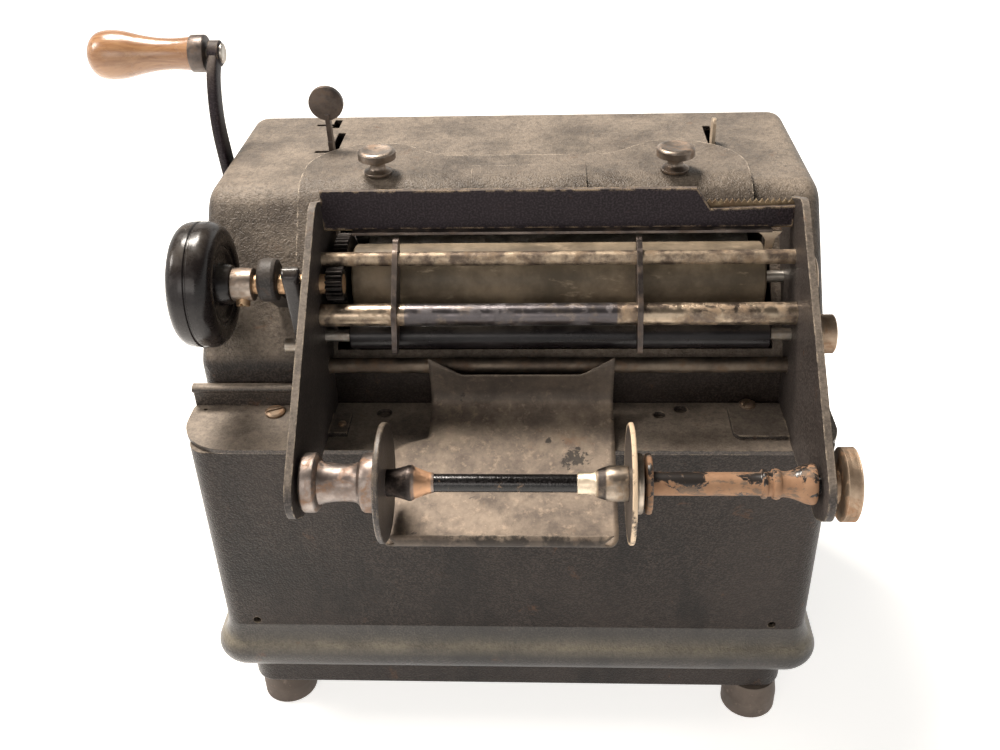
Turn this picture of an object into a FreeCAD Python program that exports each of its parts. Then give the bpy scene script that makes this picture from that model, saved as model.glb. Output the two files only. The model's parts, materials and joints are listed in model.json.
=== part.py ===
import FreeCAD, Part
import math
import os

# A hand-cranked paper-roll printing machine in a japanned metal case.
# Millimetres. While it is built, X = 0 is the middle of the case, Y = 0 its front face and Z = 0 the
# surface it stands on. X runs to the right, Y to the back, Z up. The last step moves every piece so that
# the origin is at the bottom centre of the whole machine.

V = FreeCAD.Vector
X_AXIS = V(1, 0, 0)
Z_AXIS = V(0, 0, 1)

# --- case, base and feet
CASE_LEFT_X = -187.5
CASE_RIGHT_X = 184.5
CASE_DEPTH = 252.0
CASE_TOP = 342.0
CASE_WALL = 3.0
CASE_CORNER_R = 12.0
CASE_EDGE_R = 10.0
CASE_BOTTOM = 60.0
LEDGE_Z = 229.0
UPPER_FRONT_Y = 47.5
SLOPE_Y = 42.7
SLOPE_Z = 253.8
SLOPE_ANGLE = math.radians(50.0)
WINDOW_X = (-103.3, 152.5)
WINDOW_ALONG = (16.0, 92.0)
RIM_OUT = 9.0
RIM_BOTTOM = 58.0
RIM_TOP = 92.0
PAN_INSET = 8.0
PAN_BOTTOM = 28.0
PAN_WALL = 2.5
FOOT_R = 18.0
FOOT_LEFT_X = -161.5
FOOT_RIGHT_X = 158.5
FOOT_LEFT_Y = (30.0, 222.0)
FOOT_RIGHT_Y = (22.0, 222.0)
SHEET_HOLE_R = 2.5

# --- ledge in front of the case's upper part
LEDGE_T = 3.0
LEDGE_TOP = LEDGE_Z + LEDGE_T
LEDGE_LEFT_X = -193.3
LEDGE_RIGHT_X = 187.5
LEDGE_FRONT = -1.0
LEDGE_BACK = 46.8
RISER_TOP = 246.5

# --- side plates of the roll frame
PLATE_T = 4.0
PLATE_LEFT_X = -109.5
PLATE_RIGHT_X = 158.0
ROD_R_UPPER = 4.0
ROD_UPPER = (52.5, 326.0)
ROD_R_FRONT = 6.25
ROD_FRONT = (33.0, 301.0)
ROD_R_LOWER = 4.5
ROD_LOWER = (38.0, 264.4)
RUN = 0.06
GUIDE_T = 3.0

# --- paper roll spindle
SPINDLE = (-58.0, 254.0)
SPINDLE_R = 4.65
DISC_R = 31.0

# --- rollers and drum
FEED_AXIS = (39.0, 284.2)
FEED_R = 7.6
RELEASE_AXIS = (32.5, 281.5)
HAND_AXIS = (42.0, 316.0)
HAND_SHAFT_R = 5.5
GEAR_MODULE = 1.0
HAND_TEETH = 17
PLATEN_TEETH = 52
PLATEN_Z = 302.5
HAND_TO_PLATEN = GEAR_MODULE * (HAND_TEETH + PLATEN_TEETH) / 2
PLATEN_Y = HAND_AXIS[0] + math.sqrt(HAND_TO_PLATEN ** 2 - (HAND_AXIS[1] - PLATEN_Z) ** 2)
PLATEN_AXIS = (PLATEN_Y, PLATEN_Z)
PLATEN_R = 20.5
DRUM_R = 30.5
NIP_GAP = 0.5
NIP_ANGLE = math.radians(-20.0)
NIP = PLATEN_R + DRUM_R + NIP_GAP
DRUM_AXIS = (PLATEN_Y + NIP * math.cos(NIP_ANGLE), PLATEN_Z + NIP * math.sin(NIP_ANGLE))
INK_R = 10.0
INK_ANGLE = math.radians(-50.0)
INK_GAP = DRUM_R + INK_R + 0.5
INK_AXIS = (DRUM_AXIS[0] + INK_GAP * math.cos(INK_ANGLE), DRUM_AXIS[1] + INK_GAP * math.sin(INK_ANGLE))

# --- crank
CRANK_MODULE = 1.5
DRUM_TEETH = 44
CRANK_TEETH = 56
CRANK_TO_DRUM = CRANK_MODULE * (DRUM_TEETH + CRANK_TEETH) / 2
CRANK_Z = 272.0
CRANK_Y = DRUM_AXIS[0] + math.sqrt(CRANK_TO_DRUM ** 2 - (DRUM_AXIS[1] - CRANK_Z) ** 2)
CRANK_AXIS = (CRANK_Y, CRANK_Z)
CRANK_SHAFT_R = 6.0
ARM_X = (-197.5, -190.5)
GRIP_AXIS = (203.0, 400.0)
GRIP_START_X = -198.3
GRIP_END_X = -277.0
GRIP_PIN_R = 4.0

# --- inner frames that carry the drum
INNER_LEFT_X = -134.0
INNER_RIGHT_X = 150.0
INNER_T = 4.0
INNER_Y = (96.0, 240.0)

# --- top cover and thumb screws
COVER_T = 5.0
LOBE_R = 41.0
LOBE_LEFT = (-88.0, 137.0)
LOBE_RIGHT = (102.0, 137.0)
THUMB_LEFT = (-81.8, 127.0)
THUMB_RIGHT = (98.0, 127.0)

# --- levers in the top slots
SELECTOR_X = -118.5
SELECTOR_PIVOT = (178.0, 286.0)
BLADE_X = 128.0
BLADE_PIVOT = (186.0, 290.0)


def box(x0, x1, y0, y1, z0, z1):
    return Part.makeBox(x1 - x0, y1 - y0, z1 - z0, V(x0, y0, z0))


def cyl_x(x0, x1, axis, radius):
    """Cylinder along X about the point (Y, Z) named by axis."""
    return Part.makeCylinder(radius, x1 - x0, V(x0, axis[0], axis[1]), X_AXIS)


def cyl_z(x, y, z0, z1, radius):
    return Part.makeCylinder(radius, z1 - z0, V(x, y, z0), Z_AXIS)


def rounded_face(corners):
    """Flat face from (a, b, radius) corners; each corner is rounded by its radius."""
    edges = []
    count = len(corners)
    starts = []
    ends = []
    for i in range(count):
        here = V(corners[i][0], corners[i][1], 0)
        before = V(corners[i - 1][0], corners[i - 1][1], 0)
        after = V(corners[(i + 1) % count][0], corners[(i + 1) % count][1], 0)
        radius = corners[i][2]
        back = (before - here).normalize()
        ahead = (after - here).normalize()
        if radius <= 0:
            starts.append(here)
            ends.append(here)
            continue
        half = back.getAngle(ahead) / 2
        reach = radius / math.tan(half)
        start = here + back * reach
        end = here + ahead * reach
        bisector = (back + ahead).normalize()
        middle = here + bisector * (radius / math.sin(half) - radius)
        edges.append((i, Part.Arc(start, middle, end).toShape()))
        starts.append(start)
        ends.append(end)
    arcs = dict(edges)
    outline = []
    for i in range(count):
        if i in arcs:
            outline.append(arcs[i])
        following = starts[(i + 1) % count]
        if (following - ends[i]).Length > 1e-6:
            outline.append(Part.makeLine(ends[i], following))
    return Part.Face(Part.Wire(outline))


def to_side(shape):
    """Turns a face drawn in (Y, Z) so that it stands across the X axis."""
    turn = FreeCAD.Matrix(0, 0, 1, 0, 1, 0, 0, 0, 0, 1, 0, 0, 0, 0, 0, 1)
    return shape.transformed(turn)


def side_plate(corners, x0, thickness):
    """Solid with a rounded outline in (Y, Z), from x0 to x0 + thickness."""
    face = to_side(rounded_face(corners))
    face.translate(V(x0, 0, 0))
    return face.extrude(V(thickness, 0, 0))


def flat_plate(corners, z0, thickness):
    face = rounded_face(corners)
    face.translate(V(0, 0, z0))
    return face.extrude(V(0, 0, thickness))


def turned(profile, axis):
    """Solid of revolution about X through (Y, Z); profile is a list of (x, radius)."""
    points = [V(profile[0][0], 0, 0)]
    points += [V(x, r, 0) for x, r in profile]
    points += [V(profile[-1][0], 0, 0), points[0]]
    face = Part.Face(Part.makePolygon(points))
    solid = face.revolve(V(0, 0, 0), X_AXIS, 360)
    solid.translate(V(0, axis[0], axis[1]))
    return solid


def turned_z(profile, x, y):
    """Solid of revolution about a vertical axis; profile is a list of (z, radius)."""
    points = [V(0, 0, profile[0][0])]
    points += [V(r, 0, z) for z, r in profile]
    points += [V(0, 0, profile[-1][0]), points[0]]
    face = Part.Face(Part.makePolygon(points))
    solid = face.revolve(V(0, 0, 0), Z_AXIS, 360)
    solid.translate(V(x, y, 0))
    return solid


def polar(radius, angle):
    return V(0, radius * math.cos(angle), radius * math.sin(angle))


def spur_gear(teeth, module, x0, width, axis, turn, bore_r):
    """Spur gear about X; turn is the angle of one tooth's middle, in radians from +Y towards +Z."""
    pitch_r = module * teeth / 2
    root_r = pitch_r - 1.2 * module
    tip_r = pitch_r + 0.9 * module
    step = 2 * math.pi / teeth
    points = []
    for i in range(teeth):
        middle = turn + i * step
        for radius, part in ((root_r, -0.34), (pitch_r, -0.225), (tip_r, -0.11),
                             (tip_r, 0.11), (pitch_r, 0.225), (root_r, 0.34)):
            points.append(polar(radius, middle + part * step))
    points.append(points[0])
    gear = Part.Face(Part.makePolygon(points)).extrude(V(width, 0, 0))
    gear.translate(V(x0, axis[0], axis[1]))
    return gear.cut(cyl_x(x0 - 1, x0 + width + 1, axis, bore_r))


def fluted(x0, x1, axis, radius, depth, count):
    """Round bar about X with a fine zig-zag grip around it."""
    points = []
    for i in range(2 * count):
        reach = radius if i % 2 else radius - depth
        points.append(polar(reach, math.pi * i / count))
    points.append(points[0])
    bar = Part.Face(Part.makePolygon(points)).extrude(V(x1 - x0, 0, 0))
    bar.translate(V(x0, axis[0], axis[1]))
    return bar


def rounded_box_plan(inset, z0, z1, corner_r):
    """Upright block over the case's plan, moved in by inset on every side."""
    x0 = CASE_LEFT_X + inset
    x1 = CASE_RIGHT_X - inset
    corners = [(x0, inset, corner_r), (x1, inset, corner_r),
               (x1, CASE_DEPTH - inset, corner_r), (x0, CASE_DEPTH - inset, corner_r)]
    return flat_plate(corners, z0, z1 - z0)


def slope_point(along, off):
    """Point (Y, Z) on the case's slope: along it from its foot, and off it, outwards."""
    y = SLOPE_Y + along * math.cos(SLOPE_ANGLE) - off * math.sin(SLOPE_ANGLE)
    z = SLOPE_Z + along * math.sin(SLOPE_ANGLE) + off * math.cos(SLOPE_ANGLE)
    return y, z


def slope_z_at(y, off):
    """Height of the slope, offset outwards by off, above the depth y."""
    start = slope_point(0, off)
    return start[1] + (y - start[0]) * math.tan(SLOPE_ANGLE)


def slope_y_at(z, off):
    start = slope_point(0, off)
    return start[0] + (z - start[1]) / math.tan(SLOPE_ANGLE)


def case_body(inset):
    """Lower box, upright upper front, slope and flat top, all moved in by inset."""
    edge_r = CASE_EDGE_R - inset
    front = UPPER_FRONT_Y + inset
    top = CASE_TOP - inset
    back = CASE_DEPTH - inset
    lower_top = LEDGE_Z - inset
    lower = rounded_box_plan(inset, CASE_BOTTOM - 0.5 * inset, lower_top, CASE_CORNER_R - inset)
    width = CASE_RIGHT_X - CASE_LEFT_X - 2 * inset
    profile = [(front, lower_top - 6, 0),
               (front, slope_z_at(front, -inset), 14 - inset),
               (slope_y_at(top, -inset), top, 22 - inset),
               (back, top, 0),
               (back, lower_top - 6, 0)]
    upper = side_plate(profile, CASE_LEFT_X + inset, width)
    plan = rounded_box_plan(inset, CASE_BOTTOM, CASE_TOP + 5, CASE_CORNER_R - inset)
    upper = upper.common(plan)
    crest = [e for e in upper.Edges if edge_on_outline(e, width, back, lower_top)]
    upper = upper.makeFillet(edge_r, crest)
    return lower.fuse(upper).removeSplitter()


def edge_on_outline(edge, width, back, lower_top):
    """True for the edges where the upper form's skin meets its side and back walls."""
    box_ = edge.BoundBox
    middle = box_.Center
    if box_.ZMin < lower_top + 1:
        return False
    across = box_.XLength > width - 60 and middle.y < back - 30
    upright = box_.ZLength > 30 and box_.XLength < 0.1 and box_.YLength < 0.1
    return not across and not upright


PIECES = {}


def keep(name, *shapes):
    """Stores one named piece, made of one or more separate solids."""
    solids = []
    for shape in shapes:
        solids += shape.Solids
    PIECES[name] = Part.makeCompound(solids) if len(solids) > 1 else solids[0]


# ---------------------------------------------------------------- case and base
window = side_plate([(*slope_point(WINDOW_ALONG[0], 30), 0), (*slope_point(WINDOW_ALONG[1], 30), 0),
                     (*slope_point(WINDOW_ALONG[1], -30), 0), (*slope_point(WINDOW_ALONG[0], -30), 0)],
                    WINDOW_X[0], WINDOW_X[1] - WINDOW_X[0])
case = case_body(0).cut(case_body(CASE_WALL))
case = case.cut(rounded_box_plan(CASE_WALL, CASE_BOTTOM - 5, CASE_BOTTOM + 10, CASE_CORNER_R - CASE_WALL))
case = case.cut(window)
for slot in (box(-121.0, -116.0, 150, 212, 330, 350), box(-131, -106, 175.5, 179, 330, 350),
             box(-127.5, -122.5, 222, 238, 330, 350), box(-139, -125, 226, 229.5, 330, 350),
             box(125.5, 130.5, 158, 217, 330, 350)):
    case = case.cut(slot)
for x in (-165.5, 161.6):
    case = case.cut(Part.makeCylinder(SHEET_HOLE_R, 12, V(x, -2, 95), V(0, 1, 0)))
case = case.cut(cyl_x(-195, -180, CRANK_AXIS, CRANK_SHAFT_R + 3))
for x, y in (THUMB_LEFT, THUMB_RIGHT):
    case = case.cut(cyl_z(x, y, CASE_TOP - 10, CASE_TOP + 5, 3.0 + RUN))
keep("casing", case)


def level_edges(shape, z):
    """Edges of a shape that lie flat at height z."""
    return [e for e in shape.Edges if abs(e.BoundBox.ZMax - z) < 0.01 and abs(e.BoundBox.ZMin - z) < 0.01]


def rim_ring():
    """Moulded rim around the foot of the case: a full bead below a narrow flare."""
    bead = rounded_box_plan(-RIM_OUT, RIM_BOTTOM, RIM_TOP - 13, CASE_CORNER_R + RIM_OUT)
    bead = bead.makeFillet(8.0, level_edges(bead, RIM_TOP - 13))
    bead = bead.makeFillet(6.0, level_edges(bead, RIM_BOTTOM))
    flare = rounded_box_plan(-3, RIM_BOTTOM + 2, RIM_TOP - 5, CASE_CORNER_R + 3)
    flare = flare.makeFillet(2.5, level_edges(flare, RIM_TOP - 5))
    ring = bead.fuse(flare)
    ring = ring.cut(rounded_box_plan(PAN_INSET + 4, RIM_BOTTOM - 1, CASE_BOTTOM, 8))
    return ring.cut(rounded_box_plan(0, CASE_BOTTOM, RIM_TOP + 1, CASE_CORNER_R)).removeSplitter()


keep("base_rim", rim_ring())

pan = rounded_box_plan(PAN_INSET, PAN_BOTTOM, RIM_BOTTOM, 14)
pan = pan.makeFillet(3.0, [e for e in pan.Edges if e.BoundBox.ZMax < PAN_BOTTOM + 0.1])
pan = pan.cut(rounded_box_plan(PAN_INSET + PAN_WALL, PAN_BOTTOM + PAN_WALL, RIM_BOTTOM + 1, 11.5))
keep("base_pan", pan)

feet = []
for x, depths in ((FOOT_LEFT_X, FOOT_LEFT_Y), (FOOT_RIGHT_X, FOOT_RIGHT_Y)):
    for y in depths:
        feet.append(turned_z([(0, FOOT_R - 2.5), (2.5, FOOT_R), (14, FOOT_R),
                              (PAN_BOTTOM, FOOT_R - 2.0)], x, y))
keep("feet", *feet)

# ---------------------------------------------------------------- ledge
ledge = flat_plate([(LEDGE_LEFT_X, LEDGE_FRONT, 30), (LEDGE_RIGHT_X, LEDGE_FRONT, 24),
                    (LEDGE_RIGHT_X, LEDGE_BACK, 6), (LEDGE_LEFT_X, LEDGE_BACK, 6)], LEDGE_Z, LEDGE_T)
for x, y, r in ((-76, 36, 4.5), (87, 34, 3.5), (100, 40, 4.0), (-185.5, 40, 1.2)):
    ledge = ledge.cut(cyl_z(x, y, LEDGE_Z - 1, LEDGE_TOP + 1, r))
keep("ledge_plate", ledge)
risers = []
for x0, x1 in ((-192.5, -111.5), (164.5, 185)):
    riser = box(x0, x1, LEDGE_BACK - 2.8, LEDGE_BACK, LEDGE_TOP, RISER_TOP)
    roll = cyl_x(x0, x1, (LEDGE_BACK - 2.8, RISER_TOP - 2.4), 2.4)
    risers.append(riser.fuse(roll).removeSplitter())
keep("ledge_risers", *risers)


def slotted_head(x, y, z, radius, height, turn):
    """Low round screw head with a screwdriver slot."""
    head = turned_z([(z, radius), (z + height * 0.6, radius), (z + height, radius - 1.2)], x, y)
    slot = box(-radius - 1, radius + 1, -0.8, 0.8, z + height - 1.2, z + height + 1)
    slot.rotate(V(0, 0, 0), Z_AXIS, turn)
    slot.translate(V(x, y, 0))
    return head.cut(slot)


TAB_X = (127.0, 157.99)
keep("ledge_screws", slotted_head(-142, 36, LEDGE_TOP, 6.0, 2.4, 25),
     slotted_head(139, 40, LEDGE_TOP + 3, 4.6, 2.2, 50), slotted_head(-98.5, 20, LEDGE_TOP + 3, 2.4, 1.8, 0))

# ---------------------------------------------------------------- top cover
COVER_FRONT_Z = 331.0
COVER_EAR_X = -111.5
COVER_EAR_Z = 296.0
PAD_FRONT = 98.0
PAD_BACK = 136.5
PAD_RISE = 1.1


def cover_outline(grow):
    """Dog-bone outline of the cover: two round lobes joined by a straight band."""
    left = cyl_z(LOBE_LEFT[0], LOBE_LEFT[1], 200, 400, LOBE_R + grow)
    right = cyl_z(LOBE_RIGHT[0], LOBE_RIGHT[1], 200, 400, LOBE_R + grow)
    x0 = LOBE_LEFT[0]
    x1 = LOBE_RIGHT[0]
    y_back = LOBE_LEFT[1] + LOBE_R + grow
    waist_y = 155.5 + grow
    far_left = x0 - LOBE_R - grow
    far_right = x1 + LOBE_R + grow
    band = flat_plate([(far_left, 60, 0), (far_right, 60, 0),
                       (far_right, LOBE_RIGHT[1], 0), (far_left, LOBE_LEFT[1], 0)], 200, 200)
    bridge = flat_plate([(x0, 100, 0), (x1, 100, 0), (x1, y_back, 0), (x1 - 14, y_back, 10),
                         (x1 - 42, waist_y, 26), (x0 + 42, waist_y, 26), (x0 + 14, y_back, 10),
                         (x0, y_back, 0)], 200, 200)
    return left.fuse(right).fuse(band).fuse(bridge).removeSplitter()


skin = case_body(-COVER_T).cut(case_body(-0.02))
front_cut = box(COVER_EAR_X, 300, -50, 300, 0, COVER_FRONT_Z)
ear_cut = box(-300, COVER_EAR_X, -50, 300, 0, COVER_EAR_Z)
cover = skin.common(cover_outline(0)).cut(front_cut).cut(ear_cut)
for x, y in (THUMB_LEFT, THUMB_RIGHT):
    cover = cover.cut(cyl_z(x, y, 300, 360, 3.2))
cover = max(cover.Solids, key=lambda s: s.Volume)
pad = case_body(-COVER_T - PAD_RISE).cut(case_body(-COVER_T + 0.5))
pad = pad.common(flat_plate([(-25, PAD_FRONT, 3), (45, PAD_FRONT, 3), (45, PAD_BACK, 3),
                             (-25, PAD_BACK, 3)], 200, 200))
keep("top_cover", cover.fuse(pad).removeSplitter())

for name, (x, y) in (("left", THUMB_LEFT), ("right", THUMB_RIGHT)):
    z0 = CASE_TOP + COVER_T + 0.1
    body = turned_z([(z0 - 16, 3.0), (z0, 3.0), (z0, 8.6), (z0 + 1.8, 8.6), (z0 + 3.0, 6.2), (z0 + 4.2, 4.6),
                     (z0 + 8.2, 4.6), (z0 + 9.0, 8.0), (z0 + 9.0, 10.6), (z0 + 14.6, 10.6),
                     (z0 + 15.4, 9.6)], x, y)
    grip = fluted(0, 4.6, (0, 0), 11.6, 0.6, 36)
    grip.rotate(V(0, 0, 0), V(0, 1, 0), -90)
    grip.translate(V(x, y, z0 + 9.6))
    keep("thumb_screw_" + name, body.fuse(grip).removeSplitter())

# ---------------------------------------------------------------- roll frame
PLATE_GAP = 1.0


def frame_outline():
    """Outline of a side plate: nose around the spindle, sloping front edge, top, and a back edge
    that follows the case."""
    nose_y, nose_z = SPINDLE
    nose_r = 18.0
    lean = math.radians(38.5)
    tip = V(nose_y - nose_r * math.sin(lean), nose_z + nose_r * math.cos(lean), 0)
    top_z = 361.0
    run = (top_z - tip.y) / math.tan(lean)
    back = UPPER_FRONT_Y - PLATE_GAP
    return [(tip.x + run + 6, top_z - 1, 12), (82, top_z - 12, 8), (slope_y_at(330, 12), 330, 6),
            (slope_y_at(322, PLATE_GAP), 322, 4), (back, slope_z_at(back, PLATE_GAP), 3),
            (back, LEDGE_TOP, 2), (-10, LEDGE_TOP + 0.6, 20),
            (nose_y - 2, nose_z - nose_r - 3.0, 17.0), (nose_y - nose_r - 12.5, nose_z - 1.0, 15.0)]


def frame_plate(x0):
    plate = side_plate(frame_outline(), x0, PLATE_T)
    bores = ((SPINDLE, SPINDLE_R + RUN), (ROD_UPPER, ROD_R_UPPER), (ROD_FRONT, ROD_R_FRONT - 1.5),
             (ROD_LOWER, ROD_R_LOWER), (PLATEN_AXIS, 3.5 + RUN), (FEED_AXIS, 3.5 + RUN))
    for axis, radius in bores:
        plate = plate.cut(cyl_x(x0 - 1, x0 + PLATE_T + 1, axis, radius))
    return plate


left_plate = frame_plate(PLATE_LEFT_X)
left_plate = left_plate.cut(cyl_x(-112, -100, HAND_AXIS, HAND_SHAFT_R + RUN))
TENON = box(PLATE_LEFT_X - 2.0, PLATE_LEFT_X + PLATE_T, 66, 69, 343, 351)
left_plate = left_plate.cut(TENON)
left_tab = box(PLATE_LEFT_X + 1, PLATE_LEFT_X + 15, 12, 32, LEDGE_TOP, LEDGE_TOP + 3)
keep("side_plate_left", left_plate.fuse(left_tab).removeSplitter())

right_plate = frame_plate(PLATE_RIGHT_X)
END_DISC = (40.0, 318.0)
right_tab = flat_plate([(TAB_X[0], 9, 5), (PLATE_RIGHT_X + 1, 9, 0), (PLATE_RIGHT_X + 1, 42, 0),
                        (TAB_X[0], 42, 5)], LEDGE_TOP, 3)
keep("side_plate_right", right_plate.fuse(right_tab).removeSplitter())

INNER_X0 = PLATE_LEFT_X + PLATE_T
INNER_X1 = PLATE_RIGHT_X

cross = box(INNER_X0, INNER_X1, 66, 69, 338, 361)
cross = cross.cut(Part.Face(Part.makePolygon([V(103, 60, 362), V(112, 60, 348.5), V(160, 60, 350),
                                              V(160, 60, 362), V(103, 60, 362)])).extrude(V(0, 20, 0)))
keep("cross_plate", cross.fuse(TENON).removeSplitter())


def toothed_strip(x0, x1, y0, y1, z0, z1, pitch, depth):
    """Upright strip with a saw-tooth upper edge."""
    points = [V(x0, y0, z0), V(x0, y0, z1)]
    count = int((x1 - x0) / pitch)
    step = (x1 - x0) / count
    for i in range(count):
        points.append(V(x0 + (i + 0.5) * step, y0, z1 + depth))
        points.append(V(x0 + (i + 1) * step, y0, z1))
    points += [V(x1, y0, z0), points[0]]
    return Part.Face(Part.makePolygon(points)).extrude(V(0, y1 - y0, 0))


keep("tear_blade", toothed_strip(INNER_X0, INNER_X1, 69, 70.4, 336, 351, 3.2, 2.2))

keep("upper_rod", cyl_x(PLATE_LEFT_X, PLATE_RIGHT_X + PLATE_T, ROD_UPPER, ROD_R_UPPER))
keep("front_rod", cyl_x(INNER_X0, INNER_X1, ROD_FRONT, ROD_R_FRONT).fuse(
    cyl_x(PLATE_LEFT_X, PLATE_RIGHT_X + PLATE_T, ROD_FRONT, ROD_R_FRONT - 1.5)))
keep("lower_rod", cyl_x(PLATE_LEFT_X, PLATE_RIGHT_X + PLATE_T, ROD_LOWER, ROD_R_LOWER))
keep("plate_stud_right", cyl_x(PLATE_RIGHT_X + PLATE_T, 163.5, END_DISC, 4.5).fuse(
    turned([(163.5, 14.5), (165.5, 14.5), (166.5, 12.8)], END_DISC)).removeSplitter())

# ---------------------------------------------------------------- paper chute
CHUTE_T = 1.0


def chute_strip(points, x0, x1):
    """Sheet of even thickness that follows (Y, Z) points, from x0 to x1."""
    upper = []
    lower = []
    for i, (y, z) in enumerate(points):
        ahead = points[min(i + 1, len(points) - 1)]
        behind = points[max(i - 1, 0)]
        run = V(ahead[0] - behind[0], ahead[1] - behind[1], 0).normalize()
        upper.append(V(x0, y, z))
        lower.append(V(x0, y + run.y * CHUTE_T, z - run.x * CHUTE_T))
    outline = upper + lower[::-1] + [upper[0]]
    return Part.Face(Part.makePolygon(outline)).extrude(V(x1 - x0, 0, 0))


CHUTE_LOW = [(-61.0, 220.8), (-62.8, 219.0), (-62.6, 216.4), (-60.4, 215.0), (-57.0, 215.6), (-30, 224.0),
             (0, 236.2), (8, 238.6)]
CHUTE_HIGH = [(0, 236.2), (8, 238.6), (22, 243.2), (27.5, 246.0), (29.5, 250.0), (27.0, 264.5)]
low_plan = flat_plate([(-67, -64, 9), (59.5, -64, 9), (59.5, 20, 0), (-67, 20, 0)], 200, 60)
chute = chute_strip(CHUTE_LOW, -67, 59.5).common(low_plan).fuse(chute_strip(CHUTE_HIGH, -46, 59))
ears = []
for x0, x1 in ((-46, -28), (41, 59)):
    ear = Part.Face(Part.makePolygon([V(x0, 0, 0), V(x1, 0, 0), V(x0 if x0 < 0 else x1, 0, 13),
                                      V(x0, 0, 0)])).extrude(V(0, CHUTE_T, 0))
    ear.rotate(V(0, 0, 0), X_AXIS, 11.8)
    ear.translate(V(0, 27.0, 264.3))
    ears.append(ear)
chute = chute.fuse(ears[0]).fuse(ears[1])
brackets = []
for x in (-30, 40):
    brackets.append(side_plate([(10, LEDGE_TOP, 0), (24, LEDGE_TOP, 0), (24, 243.7, 0),
                                (10, 238.7, 0)], x, 5))
for bracket in brackets:
    chute = chute.fuse(bracket)
keep("paper_chute", chute.removeSplitter())

# ---------------------------------------------------------------- spindle with its flanges
keep("spindle_shaft", cyl_x(-110.7, 172, SPINDLE, SPINDLE_R))
DISC_SEAT_R = 7.0
fixed_bore = cyl_x(-130, 200, SPINDLE, SPINDLE_R)
boss_left = turned([(-103.9, 12.0), (-102.9, 15.5), (-96.0, 15.5), (-95.0, 13.0), (-92, 10.6), (-86, 9.7),
                    (-78, 9.7), (-74, 10.8), (-72, 14.5), (-70.5, 15.5), (-65, 15.5), (-63.5, 14.5),
                    (-63.5, DISC_SEAT_R), (-57, DISC_SEAT_R), (-50, 9.0), (-47, 9.0), (-37, 4.9),
                    (-36, 4.9)], SPINDLE)
keep("roll_boss_left", boss_left.cut(fixed_bore))
disc_left = turned([(-63.5, DISC_R - 0.6), (-62.9, DISC_R), (-61.1, DISC_R), (-60.5, DISC_R - 0.6)], SPINDLE)
keep("roll_disc_left", disc_left.cut(cyl_x(-130, 0, SPINDLE, DISC_SEAT_R)))
boss_right = turned([(36.5, 5.9), (45.5, 5.9), (46, 6.4), (52.5, 8.6), (53, 9.0), (62.5, 9.0),
                     (62.5, DISC_SEAT_R), (65, DISC_SEAT_R), (65, 14.0), (65.6, 15.5), (69.0, 15.5),
                     (69.6, 14.5)], SPINDLE)
keep("roll_boss_right", boss_right.cut(cyl_x(0, 200, SPINDLE, SPINDLE_R + RUN)))
disc_right = turned([(62.5, DISC_R - 0.5), (63, DISC_R), (64.5, DISC_R), (65, DISC_R - 0.5)], SPINDLE)
keep("roll_disc_right", disc_right.cut(cyl_x(0, 200, SPINDLE, DISC_SEAT_R)))
sleeve = turned([(70.8, 14.5), (71.4, 15.5), (73.4, 15.5), (74.0, 14.5), (74.0, 6.0), (128.5, 6.0),
                 (129, 7.4), (131.5, 7.4), (132, 6.2), (134, 6.2), (134.5, 7.8), (138, 7.8),
                 (138.5, 6.6), (141, 6.6), (146, 8.0), (152, 10.2), (155.4, 10.4)], SPINDLE)
keep("spindle_sleeve", sleeve.cut(fixed_bore))
knob = turned([(162.5, 10.0), (166.4, 10.0), (167.2, 17.2), (175.0, 17.2), (175.8, 15.5)], SPINDLE)
knob = knob.fuse(fluted(167.8, 174.6, SPINDLE, 19.0, 0.7, 60))
keep("spindle_knob", knob.cut(cyl_x(150, 172, SPINDLE, SPINDLE_R)).removeSplitter())

# ---------------------------------------------------------------- feed roller
keep("feed_shaft", cyl_x(-108.6, 180, FEED_AXIS, 3.5))
keep("feed_roller", turned([(-91, FEED_R - 0.6), (-90.4, FEED_R), (145.4, FEED_R), (146, FEED_R - 0.6)],
                           FEED_AXIS).cut(cyl_x(-130, 180, FEED_AXIS, 3.5)))
keep("feed_knob", turned([(162.5, 8.4), (171, 8.4), (171.6, 10.4), (172.4, 11.2), (181, 11.2), (182, 10.2)],
                         FEED_AXIS).cut(cyl_x(150, 180, FEED_AXIS, 3.5)))

# ---------------------------------------------------------------- side guides on the two rods


def guide(x):
    """Thin plate that slides on both rods, with a finger below and a rounded end above."""
    tip = (22.0, 285.5)
    rise = math.atan2(ROD_UPPER[1] - ROD_FRONT[1], ROD_UPPER[0] - ROD_FRONT[0])
    head = (ROD_UPPER[0] + 8 * math.cos(rise), ROD_UPPER[1] + 8 * math.sin(rise))
    stations = ((tip, 3.2), (ROD_FRONT, 8.6), (ROD_UPPER, 6.6), (head, 4.0))
    whole = cyl_x(x, x + GUIDE_T, tip, 3.2)
    for i in range(1, len(stations)):
        (a, ra), (b, rb) = stations[i - 1], stations[i]
        run = math.atan2(b[1] - a[1], b[0] - a[0])
        y_way = -math.sin(run)
        z_way = math.cos(run)
        web = side_plate([(a[0] + y_way * ra, a[1] + z_way * ra, 0),
                          (a[0] - y_way * ra, a[1] - z_way * ra, 0),
                          (b[0] - y_way * rb, b[1] - z_way * rb, 0),
                          (b[0] + y_way * rb, b[1] + z_way * rb, 0)], x, GUIDE_T)
        whole = whole.fuse(web).fuse(cyl_x(x, x + GUIDE_T, b, rb))
    whole = whole.cut(cyl_x(x - 1, x + 5, ROD_UPPER, ROD_R_UPPER + RUN))
    return whole.cut(cyl_x(x - 1, x + 5, ROD_FRONT, ROD_R_FRONT + RUN)).removeSplitter()


keep("side_guide_left", guide(-65))
keep("side_guide_right", guide(71))

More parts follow.
